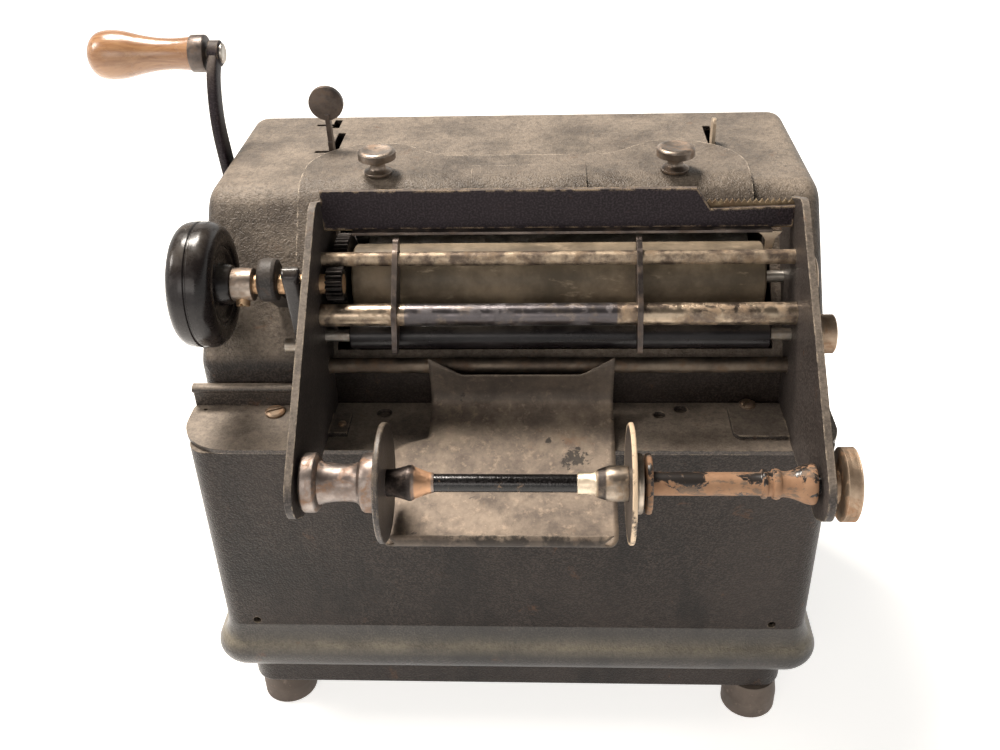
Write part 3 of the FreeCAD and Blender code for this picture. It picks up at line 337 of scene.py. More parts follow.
def chipped_sleeve(name):
    """Black paint flaking off a rusty tube that is greyed in places."""
    r = Recipe(name)
    flakes = r.noise(62.0, 9.0, 0.7, 0.8, where=r.stretched((0.7, 1.0, 1.0)))
    tops = r.calc("MULTIPLY", r.upward(0.1, 0.9), 0.05)
    bare = r.remap(r.calc("SUBTRACT", flakes, tops), 0.425, 0.445)
    rust = r.blend(r.noise(130.0, 6.0, 0.7), (0.20, 0.095, 0.045), (0.40, 0.245, 0.145))
    grey = r.remap(r.noise(150.0, 7.0, 0.72, where=r.stretched((0.5, 1.0, 1.0))), 0.52, 0.60)
    rust = r.blend(r.calc("MULTIPLY", grey, 0.7), rust, (0.10, 0.085, 0.07))
    color = r.blend(bare, (0.022, 0.018, 0.016), rust)
    rough = r.calc("ADD", 0.28, r.calc("MULTIPLY", bare, 0.42), clamp=True)
    relief = r.calc("SUBTRACT", r.calc("MULTIPLY", r.noise(300.0, 5.0, 0.7), 0.3), bare)
    r.height(relief, 0.5, 0.0003, soft_edge=0.0004)
    return r.finish(color, rough, r.calc("MULTIPLY", bare, 0.35))


DUST = (0.42, 0.345, 0.27)
JAPAN = worn_paint("worn_black_japan", (0.0105, 0.0070, 0.0052), (0.30, 0.235, 0.17), DUST, 0.58, 0.26,
                   pebble=0.9, specular=0.22, grime=0.6)
# rubbed edges painted pale: worn paint plus a painted highlight along the edges of the cover and its pad
COVER = worn_paint("cover_japan", (0.0105, 0.0070, 0.0052), (0.72, 0.60, 0.47), DUST, 0.47, 0.27, edge=0.0020,
                   pebble=0.9, specular=0.22, grime=0.6)
# dust on the bead's upward faces, partly a painted highlight along the bead
RIM = worn_paint("rim_japan", (0.0125, 0.0095, 0.007), (0.34, 0.28, 0.18), (0.36, 0.31, 0.22), 0.75, 0.24,
                 pebble=0.6, specular=0.55, grime=0.6)
LEDGE = worn_paint("ledge_enamel", (0.028, 0.022, 0.018), (0.34, 0.26, 0.18), DUST, 0.62, 0.36,
                   rust_amount=0.5, specular=0.35)
FRAME = worn_paint("frame_enamel", (0.020, 0.016, 0.014), (0.42, 0.34, 0.25), DUST, 0.38, 0.40,
                   edge=0.0018, rust_amount=0.45, specular=0.3)
# painted shade: a darker copy of the frame enamel for the shaded front of the cross plate; the crank arm wears
# it too
SHADED_ENAMEL = worn_paint("cross_plate_shaded_enamel", (0.008, 0.005, 0.0065), (0.50, 0.37, 0.24), DUST, 0.3, 0.42,
                   edge=0.0024, rust_amount=0.12, pebble=0.04, specular=0.16)
DISC = worn_paint("disc_enamel", (0.018, 0.014, 0.012), (0.62, 0.47, 0.32), DUST, 0.25, 0.34, edge=0.0012,
                  rust_amount=0.7, specular=0.3, rubbed_beyond=(SPINDLE, RUBBED_RIM))
LEFT_DISC = worn_paint("left_disc_enamel", (0.018, 0.014, 0.012), (0.42, 0.32, 0.22), DUST, 0.25, 0.30,
                       edge=0.0020, rust_amount=0.4, specular=0.4)
SPINDLE_BLACK = worn_paint("spindle_black", (0.0022, 0.0016, 0.0016), (0.5, 0.42, 0.34), DUST, 0.0, 0.12,
                           rust=(0.30, 0.19, 0.11), rust_amount=0.8, pebble=0.1, specular=0.4)
LUG = worn_paint("lug_enamel", (0.010, 0.008, 0.007), (0.16, 0.12, 0.09), DUST, 0.12, 0.34, specular=0.3)
PLAIN_IRON = aged_metal("inner_iron", (0.16, 0.145, 0.13), (0.09, 0.08, 0.07), (0.16, 0.08, 0.04), 0.4, 0.42)
ROD = aged_metal("rusty_rod", (0.42, 0.335, 0.245), (0.115, 0.088, 0.07), (0.28, 0.195, 0.12), 0.75, 0.46,
                 patches=(80.0, 0.40, 0.62))
LOWER_ROD = aged_metal("dull_lower_rod", (0.16, 0.13, 0.10), (0.08, 0.062, 0.05), (0.13, 0.075, 0.04), 0.6,
                       0.42)
FRONT_ROD = aged_metal("polished_middle_rod", (0.42, 0.335, 0.245), (0.13, 0.10, 0.08), (0.30, 0.21, 0.13),
                       0.8, 0.22, zones=((-58.0, 60.0, (0.105, 0.095, 0.098)),), patches=(80.0, 0.40, 0.62))
SHAFT = aged_metal("bare_steel", (0.46, 0.43, 0.39), (0.26, 0.235, 0.20), (0.21, 0.12, 0.06), 0.35, 0.27)
NICKEL = aged_metal("worn_nickel", (0.40, 0.34, 0.29), (0.17, 0.14, 0.115), (0.24, 0.15, 0.09), 0.6, 0.30)
LEFT_BOSS = aged_metal("left_boss_nickel", (0.36, 0.31, 0.28), (0.15, 0.12, 0.105), (0.25, 0.135, 0.07), 0.75,
                       0.30, lathe=True, zones=((-62.0, -47.5, (0.035, 0.028, 0.025)),
                                                (-46.0, -37.5, (0.50, 0.29, 0.17))))
RIGHT_BOSS = aged_metal("right_boss_nickel", (0.50, 0.42, 0.34), (0.20, 0.165, 0.13), (0.30, 0.19, 0.10), 0.6,
                        0.24, lathe=True, zones=((36.0, 46.2, (0.78, 0.66, 0.50)),
                                                 (47.0, 51.0, (0.05, 0.04, 0.035))))
KNOB = aged_metal("rusty_knob_steel", (0.46, 0.35, 0.255), (0.24, 0.17, 0.115), (0.36, 0.20, 0.105), 0.8,
                  0.38)
DARK_STEEL = aged_metal("dark_steel", (0.15, 0.125, 0.11), (0.05, 0.042, 0.04), (0.16, 0.10, 0.06), 0.5, 0.32)
BLADE = aged_metal("tarnished_blade", (0.27, 0.20, 0.12), (0.11, 0.08, 0.05), (0.12, 0.065, 0.03), 0.6, 0.38)
BRACKET = aged_metal("pale_bracket", (0.66, 0.56, 0.44), (0.50, 0.40, 0.30), (0.34, 0.22, 0.12), 0.35, 0.4)
TAN_SHAFT = aged_metal("tan_shaft", (0.72, 0.50, 0.31), (0.52, 0.34, 0.20), (0.36, 0.18, 0.08), 0.5, 0.38)
# painted shade: the gears are made nearly black so that they read as the shade inside the frame
SHADE_BLACK_GEAR = aged_metal("shade_black_gear_iron", (0.030, 0.026, 0.024), (0.014, 0.012, 0.011), (0.03, 0.018, 0.011), 0.4, 0.34)
DRUM = aged_metal("inky_drum", (0.48, 0.46, 0.42), (0.26, 0.24, 0.21), (0.06, 0.05, 0.05), 0.6, 0.3)
EBONITE = rubber("polished_ebonite", (0.008, 0.006, 0.006), (0.020, 0.016, 0.015), 0.20, coat=0.22)
FEED = rubber("feed_roller_black", (0.004, 0.003, 0.004), (0.011, 0.009, 0.010), 0.24, streaks=True, coat=0.1)
PLATEN = rubber("khaki_platen", (0.085, 0.066, 0.044), (0.235, 0.18, 0.12), 0.42, streaks=True)
FOOT = rubber("foot_rubber", (0.085, 0.066, 0.054), (0.15, 0.118, 0.096), 0.55)
WOOD = turned_wood("grip_beech")
TIN = stained_tin("stained_tin")
SLEEVE = chipped_sleeve("chipped_sleeve")

FINISHES = {
    "case_japan": JAPAN, "frame_paint": FRAME, "ledge_paint": LEDGE, "inner_metal": PLAIN_IRON,
    "rod_steel": ROD, "shaft_steel": SHAFT, "nickel": NICKEL, "blade_steel": BLADE,
    "hand_shaft_brass": TAN_SHAFT, "hard_rubber": EBONITE, "foot_rubber": FOOT, "platen_rubber": PLATEN,
    "feed_rubber": FEED, "disc_paint": DISC, "sleeve_paint": SLEEVE, "chute_tin": TIN, "gear_iron": SHADE_BLACK_GEAR,
    "drum_metal": DRUM, "grip_wood": WOOD, "knob_steel": KNOB,
}
SPECIAL = {"cross_plate": SHADED_ENAMEL, "front_rod": FRONT_ROD, "spindle_shaft": SPINDLE_BLACK,
           "side_guide_left": DARK_STEEL, "side_guide_right": DARK_STEEL, "selector_lever": DARK_STEEL,
           "crank_arm": SHADED_ENAMEL, "shaft_lug": LUG, "lower_rod": LOWER_ROD, "roll_disc_left": LEFT_DISC,
           "blade_lever": BRACKET, "top_cover": COVER}


def give(obj, material):
    """Puts one material on an object's own slots."""
    if not obj.material_slots:
        obj.data.materials.append(material)
    for held in obj.material_slots:
        held.link = "OBJECT"
        held.material = material


for part in frame["record"]["subparts"]:
    give(NODES[part["node"]], SPECIAL.get(part["node"], FINISHES[part["material_slot"]]))

# ------------------------------------------------------------------ detailed pieces


def axis_of(node):
    """Middle of a CAD node's box in (Y, Z) drawing millimetres."""
    low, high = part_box(node)
    return ((low[1] + high[1]) * 500 - ORIGIN_Y, (low[2] + high[2]) * 500)


def curve(points, per=6):
    """Smooth line through points, with per steps between each pair."""
    line = []
    last = len(points) - 1
    for i in range(last):
        a, b, c, d = (Vector(points[min(max(i + k, 0), last)]) for k in (-1, 0, 1, 2))
        for k in range(per):
            t = k / per
            line.append(0.5 * (2 * b + (c - a) * t + (2 * a - 5 * b + 4 * c - d) * t * t
                               + (3 * b - a - 3 * c + d) * t ** 3))
    line.append(Vector(points[last]))
    return line


def build(name, points, faces, body, slot, stands_for=(), finish=None, crease=38.0):
    """A mesh from drawing-coordinate points, smooth except at creases, that rides on a body."""
    mesh = bpy.data.meshes.new(name)
    mesh.from_pydata([place(*p) for p in points], [], faces)
    form = bmesh.new()
    form.from_mesh(mesh)
    bmesh.ops.recalc_face_normals(form, faces=form.faces)
    form.to_mesh(mesh)
    form.free()
    for polygon in mesh.polygons:
        polygon.use_smooth = True
    mesh.set_sharp_from_angle(angle=math.radians(crease))
    piece = bpy.data.objects.new(name, mesh)
    bpy.context.scene.collection.objects.link(piece)
    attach(piece, body)
    give(piece, finish or FINISHES[slot])
    if stands_for:
        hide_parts(*stands_for)
    return piece


def joined_rings(rings, closed, capped):
    """Points and faces that join equal rings; closed joins the last ring to the first."""
    count = len(rings[0])
    points = [p for ring in rings for p in ring]
    faces = []
    for i in range(len(rings) if closed else len(rings) - 1):
        j = (i + 1) % len(rings)
        for k in range(count):
            m = (k + 1) % count
            faces.append((i * count + k, i * count + m, j * count + m, j * count + k))
    if capped:
        faces.append(tuple(range(count)))
        faces.append(tuple(range((len(rings) - 1) * count, len(rings) * count)))
    return points, faces


def turn(name, line, axis, body, slot, bore=None, count=96, relief=None, upright=False, **more):
    """A turned piece: line holds (along, radius); relief(along, angle) adds to the radius."""
    loop = [(p[0], p[1], True) for p in line]
    if bore:
        loop += [(loop[-1][0], bore, False), (loop[0][0], bore, False)]
    rings = []
    for along, radius, outer in loop:
        ring = []
        for k in range(count):
            angle = 2 * math.pi * k / count
            reach = radius + (relief(along, angle) if relief and outer else 0.0)
            a = axis[0] + reach * math.cos(angle)
            b = axis[1] + reach * math.sin(angle)
            ring.append((a, b, along) if upright else (along, a, b))
        rings.append(ring)
    points, faces = joined_rings(rings, bool(bore), not bore)
    return build(name, points, faces, body, slot, **more)


def knurl(start, end, depth, teeth, pitch):
    """Crossed knurling between two positions along a turned piece."""
    def relief(along, angle):
        if along < start or along > end:
            return 0.0
        spiral = 2 * math.pi * (along - start) / pitch
        cross = math.sin(teeth * angle + spiral) * math.sin(teeth * angle - spiral)
        return depth * (abs(cross) ** 0.5 - 1.0)
    return relief


def steps(start, end, radius, pace):
    """Evenly spaced (along, radius) stations."""
    count = max(2, int((end - start) / pace))
    return [(start + (end - start) * i / count, radius) for i in range(count + 1)]


GRIP = axis_of("crank_grip")

grip_line = curve([(-277.0, 2.5), (-276.2, 7.0), (-274.0, 11.0), (-270.5, 14.0), (-265.5, 15.4),
                   (-260.0, 15.6), (-253.0, 14.8), (-243.0, 12.4), (-233.0, 10.6), (-223.0, 9.9),
                   (-215.0, 10.2), (-209.2, 10.8)])
turn("turned_grip", grip_line, GRIP, "grip", "grip_wood", stands_for=("crank_grip",))
collar_line = [(-209.2, 11.0), (-208.8, 11.6), (-208.0, 11.8), (-200.4, 11.8), (-199.6, 11.5), (-199.3, 10.6)]
turn("grip_collar", collar_line, GRIP, "grip", "knob_steel", bore=GRIP_BORE, stands_for=("grip_ferrule",),
     finish=DARK_STEEL)

tyre_line = curve([(-183.9, 24.5), (-183.9, 28.6), (-182.6, 32.2), (-179.6, 34.6), (-175.6, 35.4),
                   (-172.6, 35.5)])
tyre_line += [(-172.1, 34.7), (-171.2, 34.7), (-170.7, 35.5)]
tyre_line += curve([(-170.2, 35.5), (-166.0, 35.3), (-162.4, 33.7), (-160.0, 30.8), (-159.1, 27.0),
                    (-159.6, 24.0), (-160.8, 22.6)])
turn("wheel_tyre", tyre_line, HAND, "hand_wheel", "hard_rubber", bore=21.9, count=128,
     stands_for=("hand_wheel_tyre",), crease=50.0)
hub_line = [(-181.9, 5.6), (-181.9, 7.6), (-178.0, 9.0), (-177.4, 18.6), (-180.6, 20.6), (-181.9, 21.8)]
hub_line += [(-161.2, 21.9), (-160.6, 21.0), (-160.8, 19.8), (-161.9, 18.8), (-162.6, 14.0), (-161.9, 12.4)]
hub_line += [(-156.4, 11.2), (-155.3, 10.6), (-155.2, 5.6)]
turn("wheel_hub", hub_line, HAND, "hand_wheel", "hard_rubber", stands_for=("hand_wheel_hub",), crease=50.0)

boss_line = [(-103.9, 12.2), (-103.4, 14.4), (-102.4, 15.3), (-101.0, 15.5), (-98.0, 15.5), (-96.6, 15.2),
             (-95.6, 14.2), (-95.2, 12.6)]
boss_line += curve([(-94.8, 11.4), (-92.0, 10.5), (-87.0, 9.8), (-82.0, 9.6), (-77.6, 9.9), (-74.8, 10.9)])
boss_line += [(-73.6, 12.6), (-72.6, 14.6), (-71.2, 15.4), (-65.2, 15.5), (-64.2, 15.2), (-63.5, 14.4)]
boss_line += [(-63.5, 7.0), (-57.0, 7.0), (-50.4, 8.8), (-49.4, 9.2), (-47.6, 9.2), (-46.8, 8.7)]
boss_line += curve([(-46.2, 8.2), (-43.0, 7.0), (-39.5, 5.7), (-36.2, 4.9)], 4)
turn("left_boss", boss_line, SPINDLE, "spindle", "nickel", bore=SPINDLE_BORE,
     stands_for=("roll_boss_left",), finish=LEFT_BOSS, crease=32.0)
boss_line = [(36.5, 5.3), (36.9, 5.9), (45.4, 5.9), (46.0, 6.2), (46.6, 7.0), (52.0, 8.9), (52.8, 9.2),
             (61.6, 9.2)]
boss_line += [(62.4, 8.9), (62.5, 7.0), (65.0, 7.0), (65.0, 13.8), (65.4, 15.0), (66.2, 15.5), (68.6, 15.5),
              (69.3, 15.1), (69.6, 14.2)]
turn("right_boss", boss_line, SPINDLE, "right_flange", "nickel", bore=RIGHT_FLANGE_BORE,
     stands_for=("roll_boss_right",), finish=RIGHT_BOSS, crease=32.0)
sleeve_line = [(70.8, 14.4), (71.2, 15.2), (71.8, 15.5), (73.2, 15.5), (73.8, 15.1), (74.0, 14.2),
               (74.0, 6.0)]
sleeve_line += steps(75.0, 128.0, 6.0, 6.0)
sleeve_line += [(128.6, 6.2), (129.2, 7.2), (130.2, 7.5), (131.3, 7.2), (132.0, 6.3), (134.0, 6.2),
                (134.6, 7.4), (136.2, 7.9), (137.8, 7.5), (138.6, 6.7)]
sleeve_line += curve([(140.0, 6.5), (143.0, 6.9), (147.0, 8.3), (151.0, 9.9), (154.0, 10.4),
                      (155.4, 10.1)], 4)
turn("chipped_tube", sleeve_line, SPINDLE, "spindle", "sleeve_paint", bore=SPINDLE_BORE, count=72,
     stands_for=("spindle_sleeve",), crease=32.0)
knob_line = [(162.5, 9.6), (162.9, 10.0), (166.2, 10.0), (166.8, 11.4), (167.0, 16.6), (167.5, 18.2),
             (168.0, 18.9)]
knob_line += steps(168.3, 174.2, 18.9, 0.42) + [(174.5, 18.9), (175.0, 18.0), (175.6, 16.4), (175.8, 14.0)]
turn("knurled_knob", knob_line, SPINDLE, "spindle", "knob_steel", count=320,
     relief=knurl(168.2, 174.3, depth=0.55, teeth=40, pitch=2.9), stands_for=("spindle_knob",), crease=60.0)
knob_line = [(162.5, 7.9), (162.9, 8.4), (170.6, 8.4), (171.1, 9.4), (171.6, 10.6), (172.4, 11.1)]
knob_line += steps(172.6, 181.0, 11.1, 0.45) + [(181.3, 10.9), (181.8, 10.2), (182.0, 8.8)]
turn("feed_knob_knurled", knob_line, FEEDER, "feeder", "knob_steel", count=200,
     relief=knurl(172.7, 180.9, depth=0.32, teeth=25, pitch=2.8), stands_for=("feed_knob",), crease=60.0)

THUMB_DEPTH = 127.0
for side, x in (("left", -81.8), ("right", 98.0)):
    seat = 347.1
    screw_line = [(seat - 16.0, 3.0), (seat, 3.0), (seat, 8.2), (seat + 0.5, 8.6), (seat + 1.7, 8.6)]
    screw_line += curve([(seat + 2.2, 7.6), (seat + 3.6, 5.2), (seat + 6.0, 4.5), (seat + 8.0, 5.0),
                         (seat + 9.0, 7.6), (seat + 9.5, 10.6)], 4)
    screw_line += steps(seat + 9.8, seat + 14.0, 11.5, 0.42)
    screw_line += [(seat + 14.4, 11.0), (seat + 15.1, 10.0), (seat + 15.3, 8.6), (seat + 14.9, 7.4)]
    turn("thumb_knob_" + side, screw_line, (x, THUMB_DEPTH), "thumb_" + side, "nickel", count=216,
         upright=True, relief=knurl(seat + 9.7, seat + 14.1, depth=0.35, teeth=27, pitch=2.6),
         stands_for=("thumb_screw_" + side,), crease=60.0)


# moulded rim around the foot of the case
CASE_X = (-187.5, 184.5)
CASE_Y = (0.0, 252.0)
CORNER = 12.0
CORNER_STEPS = 12


def rim_path():
    """Points around the case's plan, each with its outward direction."""
    path = []
    centres = ((CASE_X[1] - CORNER, CASE_Y[1] - CORNER), (CASE_X[0] + CORNER, CASE_Y[1] - CORNER),
               (CASE_X[0] + CORNER, CASE_Y[0] + CORNER), (CASE_X[1] - CORNER, CASE_Y[0] + CORNER))
    for i, (x, y) in enumerate(centres):
        for k in range(CORNER_STEPS + 1):
            angle = math.pi / 2 * (i + k / CORNER_STEPS)
            nx = math.cos(angle)
            ny = math.sin(angle)
            path.append((x + CORNER * nx, y + CORNER * ny, nx, ny))
    return path


rim_form = curve([(-0.3, 93.0), (1.0, 86.0), (3.4, 80.2), (6.8, 76.0), (8.9, 71.0), (8.3, 65.4), (5.4, 60.4),
                  (3.0, 58.4)], 4) + [Vector((-11.5, 58.0)), Vector((-11.5, 59.8)), Vector((-0.3, 60.2))]
rim_rings = [[(x + nx * p[0], y + ny * p[0], p[1]) for p in rim_form] for x, y, nx, ny in rim_path()]
rim_points, rim_faces = joined_rings(rim_rings, True, False)
build("moulded_rim", rim_points, rim_faces, "machine", "case_japan", stands_for=("base_rim",), finish=RIM,
      crease=50.0)

# paper chute: one bent sheet with a rolled lip, rounded front corners and two ears
CHUTE_MIDDLE = 6.5
CHUTE_LEFT = -46.0
CHUTE_RIGHT = 59.2
CHUTE_WIDENING = 21.0
WIDENS_FROM = 4.0
WIDENS_OVER = 7.0
LIP_CORNER = 9.0
LIP_CORNER_FROM = -54.0
EAR_HALF_GAP = 34.5
EAR_WIDTH = 18.0
EAR_RISE = 13.0
BACK_RISE = 1.4
CHUTE_THICKNESS = 0.001
chute_form = curve([(-60.6, 220.9), (-62.4, 219.6), (-62.9, 217.4), (-61.4, 215.4), (-58.0, 215.3),
                    (-50.0, 217.8), (-30.0, 224.2), (0.0, 236.2), (10.0, 239.4), (20.0, 242.4),
                    (26.0, 245.2), (28.8, 249.6), (28.6, 256.0), (27.2, 263.0)], 5)


def chute_sides(y):
    """Left and right edge of the sheet at the depth y."""
    inset = 0.0
    if y < LIP_CORNER_FROM:
        inset = LIP_CORNER - math.sqrt(max(0.0, LIP_CORNER ** 2 - (LIP_CORNER_FROM - y) ** 2))
    widen = min(1.0, max(0.0, (WIDENS_FROM - y) / WIDENS_OVER))
    widen = widen * widen * (3.0 - 2.0 * widen)
    return CHUTE_LEFT - CHUTE_WIDENING * widen + inset, CHUTE_RIGHT - inset


chute_rows = []
columns = 44
for y, z in chute_form:
    left, right = chute_sides(y)
    chute_rows.append([(left + (right - left) * k / columns, y, z) for k in range(columns + 1)])
top_row = chute_rows[-1]
for t in (0.34, 0.67, 1.0):
    row = []
    for x, y, z in top_row:
        ear = BACK_RISE + EAR_RISE * max(0.0, (abs(x - CHUTE_MIDDLE) - EAR_HALF_GAP) / EAR_WIDTH)
        row.append((x, y - 0.2 * ear * t, z + 0.98 * ear * t))
    chute_rows.append(row)
chute_points = [p for row in chute_rows for p in row]
wide = columns + 1
chute_faces = []
for i in range(len(chute_rows) - 1):
    for k in range(columns):
        chute_faces.append((i * wide + k, i * wide + k + 1, (i + 1) * wide + k + 1, (i + 1) * wide + k))
chute = build("bent_chute", chute_points, chute_faces, "machine", "chute_tin", stands_for=("paper_chute",))
thick = chute.modifiers.new("thickness", "SOLIDIFY")
thick.thickness = CHUTE_THICKNESS
thick.offset = -1.0


# crank arm: a bowed bar with rounded edges, a hub and an eye
def bar_rings(spine, half_width, half_thick, middle_x):
    """Rounded-rectangle rings along a (Y, Z) line; half_width(t) is across it in its own plane."""
    count = 24
    squareness = 0.5
    rings = []
    last = len(spine) - 1
    for i, here in enumerate(spine):
        ahead = (spine[min(i + 1, last)] - spine[max(i - 1, 0)]).normalized()
        across = Vector((-ahead.y, ahead.x))
        wide = half_width(i / last)
        ring = []
        for k in range(count):
            angle = 2 * math.pi * k / count
            c = math.copysign(abs(math.cos(angle)) ** squareness, math.cos(angle))
            s = math.copysign(abs(math.sin(angle)) ** squareness, math.sin(angle))
            spot = here + across * wide * c
            ring.append((middle_x + half_thick * s, spot.x, spot.y))
        rings.append(ring)
    return rings


CRANK = axis_of("crank_shaft")
arm_spine = curve([CRANK, (191.0, 318.0), (184.0, 358.0), (190.0, 386.0), GRIP], 10)
arm_rings = bar_rings(arm_spine, lambda t: 8.5 - 2.5 * t, half_thick=3.5, middle_x=-194.0)
arm_points, arm_faces = joined_rings(arm_rings, False, True)
build("bowed_arm", arm_points, arm_faces, "crank", "frame_paint", stands_for=("crank_arm",), finish=SHADED_ENAMEL)
hub_line = [(-198.0, 10.6), (-197.7, 12.2), (-196.8, 13.0), (-190.6, 13.0), (-190.0, 12.4), (-189.9, 11.0)]
turn("arm_hub", hub_line, CRANK, "crank", "frame_paint", finish=SHADED_ENAMEL)
turn("arm_eye", [(-197.9, 5.6), (-197.6, 7.4), (-196.8, 8.2), (-190.6, 8.2), (-190.0, 7.4), (-189.9, 6.0)],
     GRIP, "crank", "frame_paint", finish=SHADED_ENAMEL)

# release lever: a tapered bar with a domed top
RELEASE = Vector((32.5, 281.5))
lever_top = Vector((22.0, 331.0))
LEVER_DOME_FROM = 0.86
LEVER_STEPS = 30
rise = (lever_top - RELEASE).normalized()
lever_spine = [RELEASE + (lever_top + rise * 5.4 - RELEASE) * (i / LEVER_STEPS)
               for i in range(LEVER_STEPS + 1)]


def lever_width(t):
    """Half width at t along the lever, which tapers and then closes in a dome."""
    if t < LEVER_DOME_FROM:
        return 3.4 + 1.2 * t
    dome = (t - LEVER_DOME_FROM) / (1.0 - LEVER_DOME_FROM)
    return max(0.4, 5.3 * math.sqrt(max(0.0, 1.0 - (2.0 * dome - 1.0) ** 2 * (1.0 if dome > 0.5 else 0.2))))


lever_rings = bar_rings(lever_spine, lever_width, half_thick=4.7, middle_x=-116.3)
lever_points, lever_faces = joined_rings(lever_rings, False, True)
build("tapered_lever", lever_points, lever_faces, "release", "hard_rubber", stands_for=("release_lever",),
      crease=55.0)
turn("lever_boss", [(-121.0, 6.6), (-120.4, 7.4), (-112.1, 7.4), (-111.5, 6.6)], RELEASE, "release",
     "hard_rubber", bore=LEVER_BORE)


def slab(name, outline, y0, y1, body, slot, finish=None):
    """A flat plate with an outline in (X, Z) and its thickness along Y."""
    count = len(outline)
    points = [(x, y0, z) for x, z in outline] + [(x, y1, z) for x, z in outline]
    faces = [tuple(range(count)), tuple(range(2 * count - 1, count - 1, -1))]
    for k in range(count):
        m = (k + 1) % count
        faces.append((k, m, count + m, count + k))
    return build(name, points, faces, body, slot, finish=finish)


# low pad on the top cover that runs down over its rounded front edge
pad_line = [(104.0, 336.5), (107.0, 339.9), (110.0, 342.5), (113.0, 344.5), (116.0, 345.9), (120.0, 347.0),
            (128.0, 347.0), (136.5, 347.0)]
pad_rings = [[(-25.0, y + 0.1, z - 0.4), (-25.0, y - 0.2, z + 0.5), (-24.5, y - 0.3, z + 0.9),
              (44.5, y - 0.3, z + 0.9), (45.0, y - 0.2, z + 0.5), (45.0, y + 0.1, z - 0.4)]
             for y, z in pad_line]
pad_points, pad_faces = joined_rings(pad_rings, False, True)
build("cover_pad", pad_points, pad_faces, "machine", "case_japan", finish=COVER, crease=20.0)

# turned-out lip below the cross plate, and a small pale bracket at its right end
slab("cross_lip", [(-89.0, 338.2), (-89.0, 336.6), (146.0, 336.6), (146.0, 338.2)], y0=61.0, y1=66.0,
     body="machine", slot="blade_steel", finish=DARK_STEEL)
slab("lip_bracket", [(138.0, 336.6), (152.0, 336.6), (148.4, 332.0), (147.4, 324.0), (143.6, 324.0),
                     (143.2, 331.0), (141.0, 334.4)], y0=62.6, y1=64.4,
     body="machine", slot="blade_steel", finish=BRACKET)

# ------------------------------------------------------------------ camera
CAMERA_AT = place(23.67, -483.75, 594.39)
CAMERA_PITCH = 0.572449
CAMERA_YAW = -0.0573981
CAMERA_ROLL = -0.0325769
LENS_MM = 38.37
SENSOR_MM = 36.0


def aim(pitch, yaw, roll):
    """Rotation of a camera that looks down by pitch, turned by yaw from +Y, and rolled."""
    ahead = Vector((math.sin(yaw) * math.cos(pitch), math.cos(yaw) * math.cos(pitch), -math.sin(pitch)))
    level = Vector((math.cos(yaw), -math.sin(yaw), 0.0))
    upright = level.cross(ahead)
    right = level * math.cos(roll) + upright * math.sin(roll)
    up = upright * math.cos(roll) - level * math.sin(roll)
    return Matrix((right, up, -ahead)).transposed().to_4x4()


camera = bpy.data.objects.new("camera", bpy.data.cameras.new("camera"))
bpy.context.scene.collection.objects.link(camera)
camera.data.lens = LENS_MM
camera.data.sensor_width = SENSOR_MM
camera.data.clip_start = 0.01
camera.matrix_world = Matrix.Translation(CAMERA_AT) @ aim(CAMERA_PITCH, CAMERA_YAW, CAMERA_ROLL)
bpy.context.scene.camera = camera

# ------------------------------------------------------------------ floor and light
FLOOR_HALF_WIDTH = 6.0
FLOOR_GLOW = 0.7

# the surroundings are bright at eye level and fade between two heights (sine of the angle) to a dim top
FADE_FROM = 0.30
FADE_TO = 0.55
HORIZON_LIGHT = 1.0
OVERHEAD_LIGHT = 0.08


def pale_floor():
    """Warm white ground that glows a little, so that it reads as the photo's plain background."""
    r = Recipe("pale_floor")
    tone = r.blend(r.noise(1.3, 3.0, 0.5), (0.86, 0.845, 0.82), (0.92, 0.91, 0.89))
    r.height(r.noise(300.0, 3.0), 0.04, 0.0005)
    r.shader.inputs["Emission Color"].default_value = (1.0, 0.99, 0.97, 1.0)
    r.shader.inputs["Emission Strength"].default_value = FLOOR_GLOW
    r.shader.inputs["Specular IOR Level"].default_value = 0.1
    return r.finish(tone, 0.8)


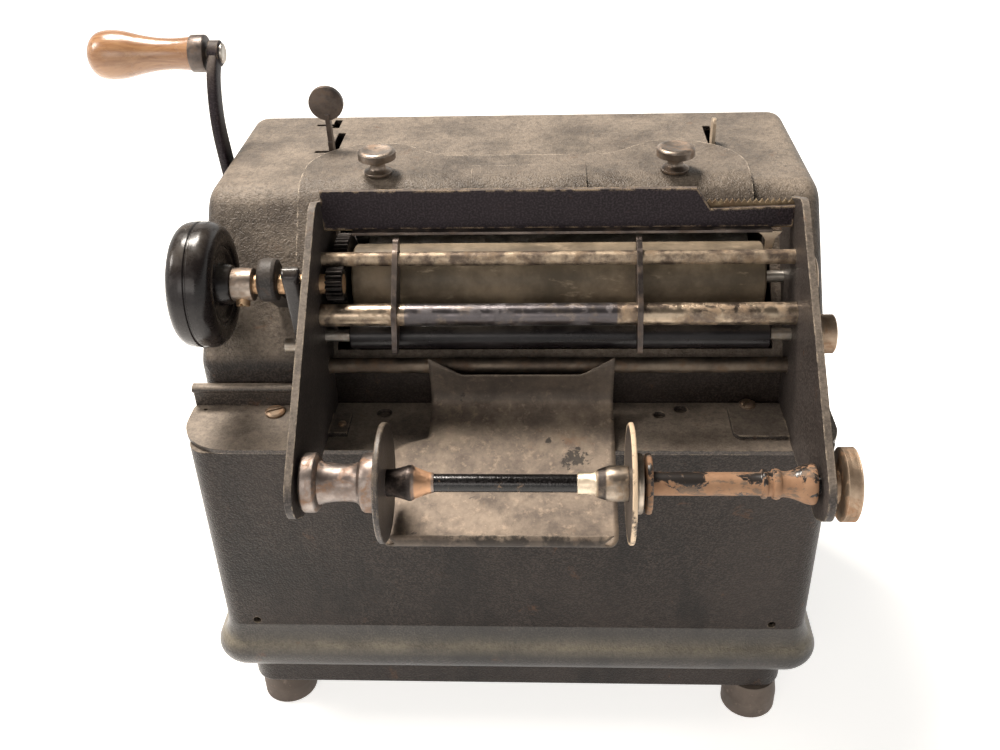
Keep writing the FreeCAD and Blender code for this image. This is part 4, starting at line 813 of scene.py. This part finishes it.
floor_mesh = bpy.data.meshes.new("floor")
built = bmesh.new()
bmesh.ops.create_grid(built, x_segments=8, y_segments=8, size=FLOOR_HALF_WIDTH)
built.to_mesh(floor_mesh)
built.free()
floor = bpy.data.objects.new("floor", floor_mesh)
bpy.context.scene.collection.objects.link(floor)
give(floor, pale_floor())


def soft_light(name, at, target, size, power, color):
    """A rectangular area light at a point in the row frame (m), turned to face the target."""
    lamp = bpy.data.lights.new(name, "AREA")
    lamp.shape = "RECTANGLE"
    lamp.size = size[0]
    lamp.size_y = size[1]
    lamp.energy = power
    lamp.color = color
    holder = bpy.data.objects.new(name, lamp)
    bpy.context.scene.collection.objects.link(holder)
    holder.location = at
    holder.rotation_euler = (Vector(target) - Vector(at)).to_track_quat("-Z", "Y").to_euler()


soft_light("overhead", at=(-0.45, 0.55, 1.8), target=(0.0, 0.0, 0.25), size=(0.55, 0.45), power=52.0,
           color=(1.0, 0.93, 0.85))
soft_light("front_fill", at=(-0.5, -1.9, 1.2), target=(0.0, 0.0, 0.2), size=(1.2, 0.8), power=9.5,
           color=(1.0, 0.92, 0.86))
soft_light("left_fill", at=(-1.5, -0.2, 1.5), target=(0.0, 0.0, 0.25), size=(0.5, 0.5), power=17.0,
           color=(1.0, 0.94, 0.88))

world = bpy.data.worlds.new("studio")
world.use_nodes = True
world.node_tree.nodes["Background"].inputs["Color"].default_value = (1.0, 0.985, 0.955, 1.0)
sky = world.node_tree.nodes
upwards = sky.new("ShaderNodeSeparateXYZ")
fading = sky.new("ShaderNodeMapRange")
fading.inputs["From Min"].default_value = FADE_FROM
fading.inputs["From Max"].default_value = FADE_TO
fading.inputs["To Min"].default_value = HORIZON_LIGHT
fading.inputs["To Max"].default_value = OVERHEAD_LIGHT
world.node_tree.links.new(sky.new("ShaderNodeTexCoord").outputs["Generated"], upwards.inputs[0])
world.node_tree.links.new(upwards.outputs["Z"], fading.inputs["Value"])
world.node_tree.links.new(fading.outputs["Result"], sky["Background"].inputs["Strength"])
bpy.context.scene.world = world
bpy.context.scene.view_settings.view_transform = "Standard"
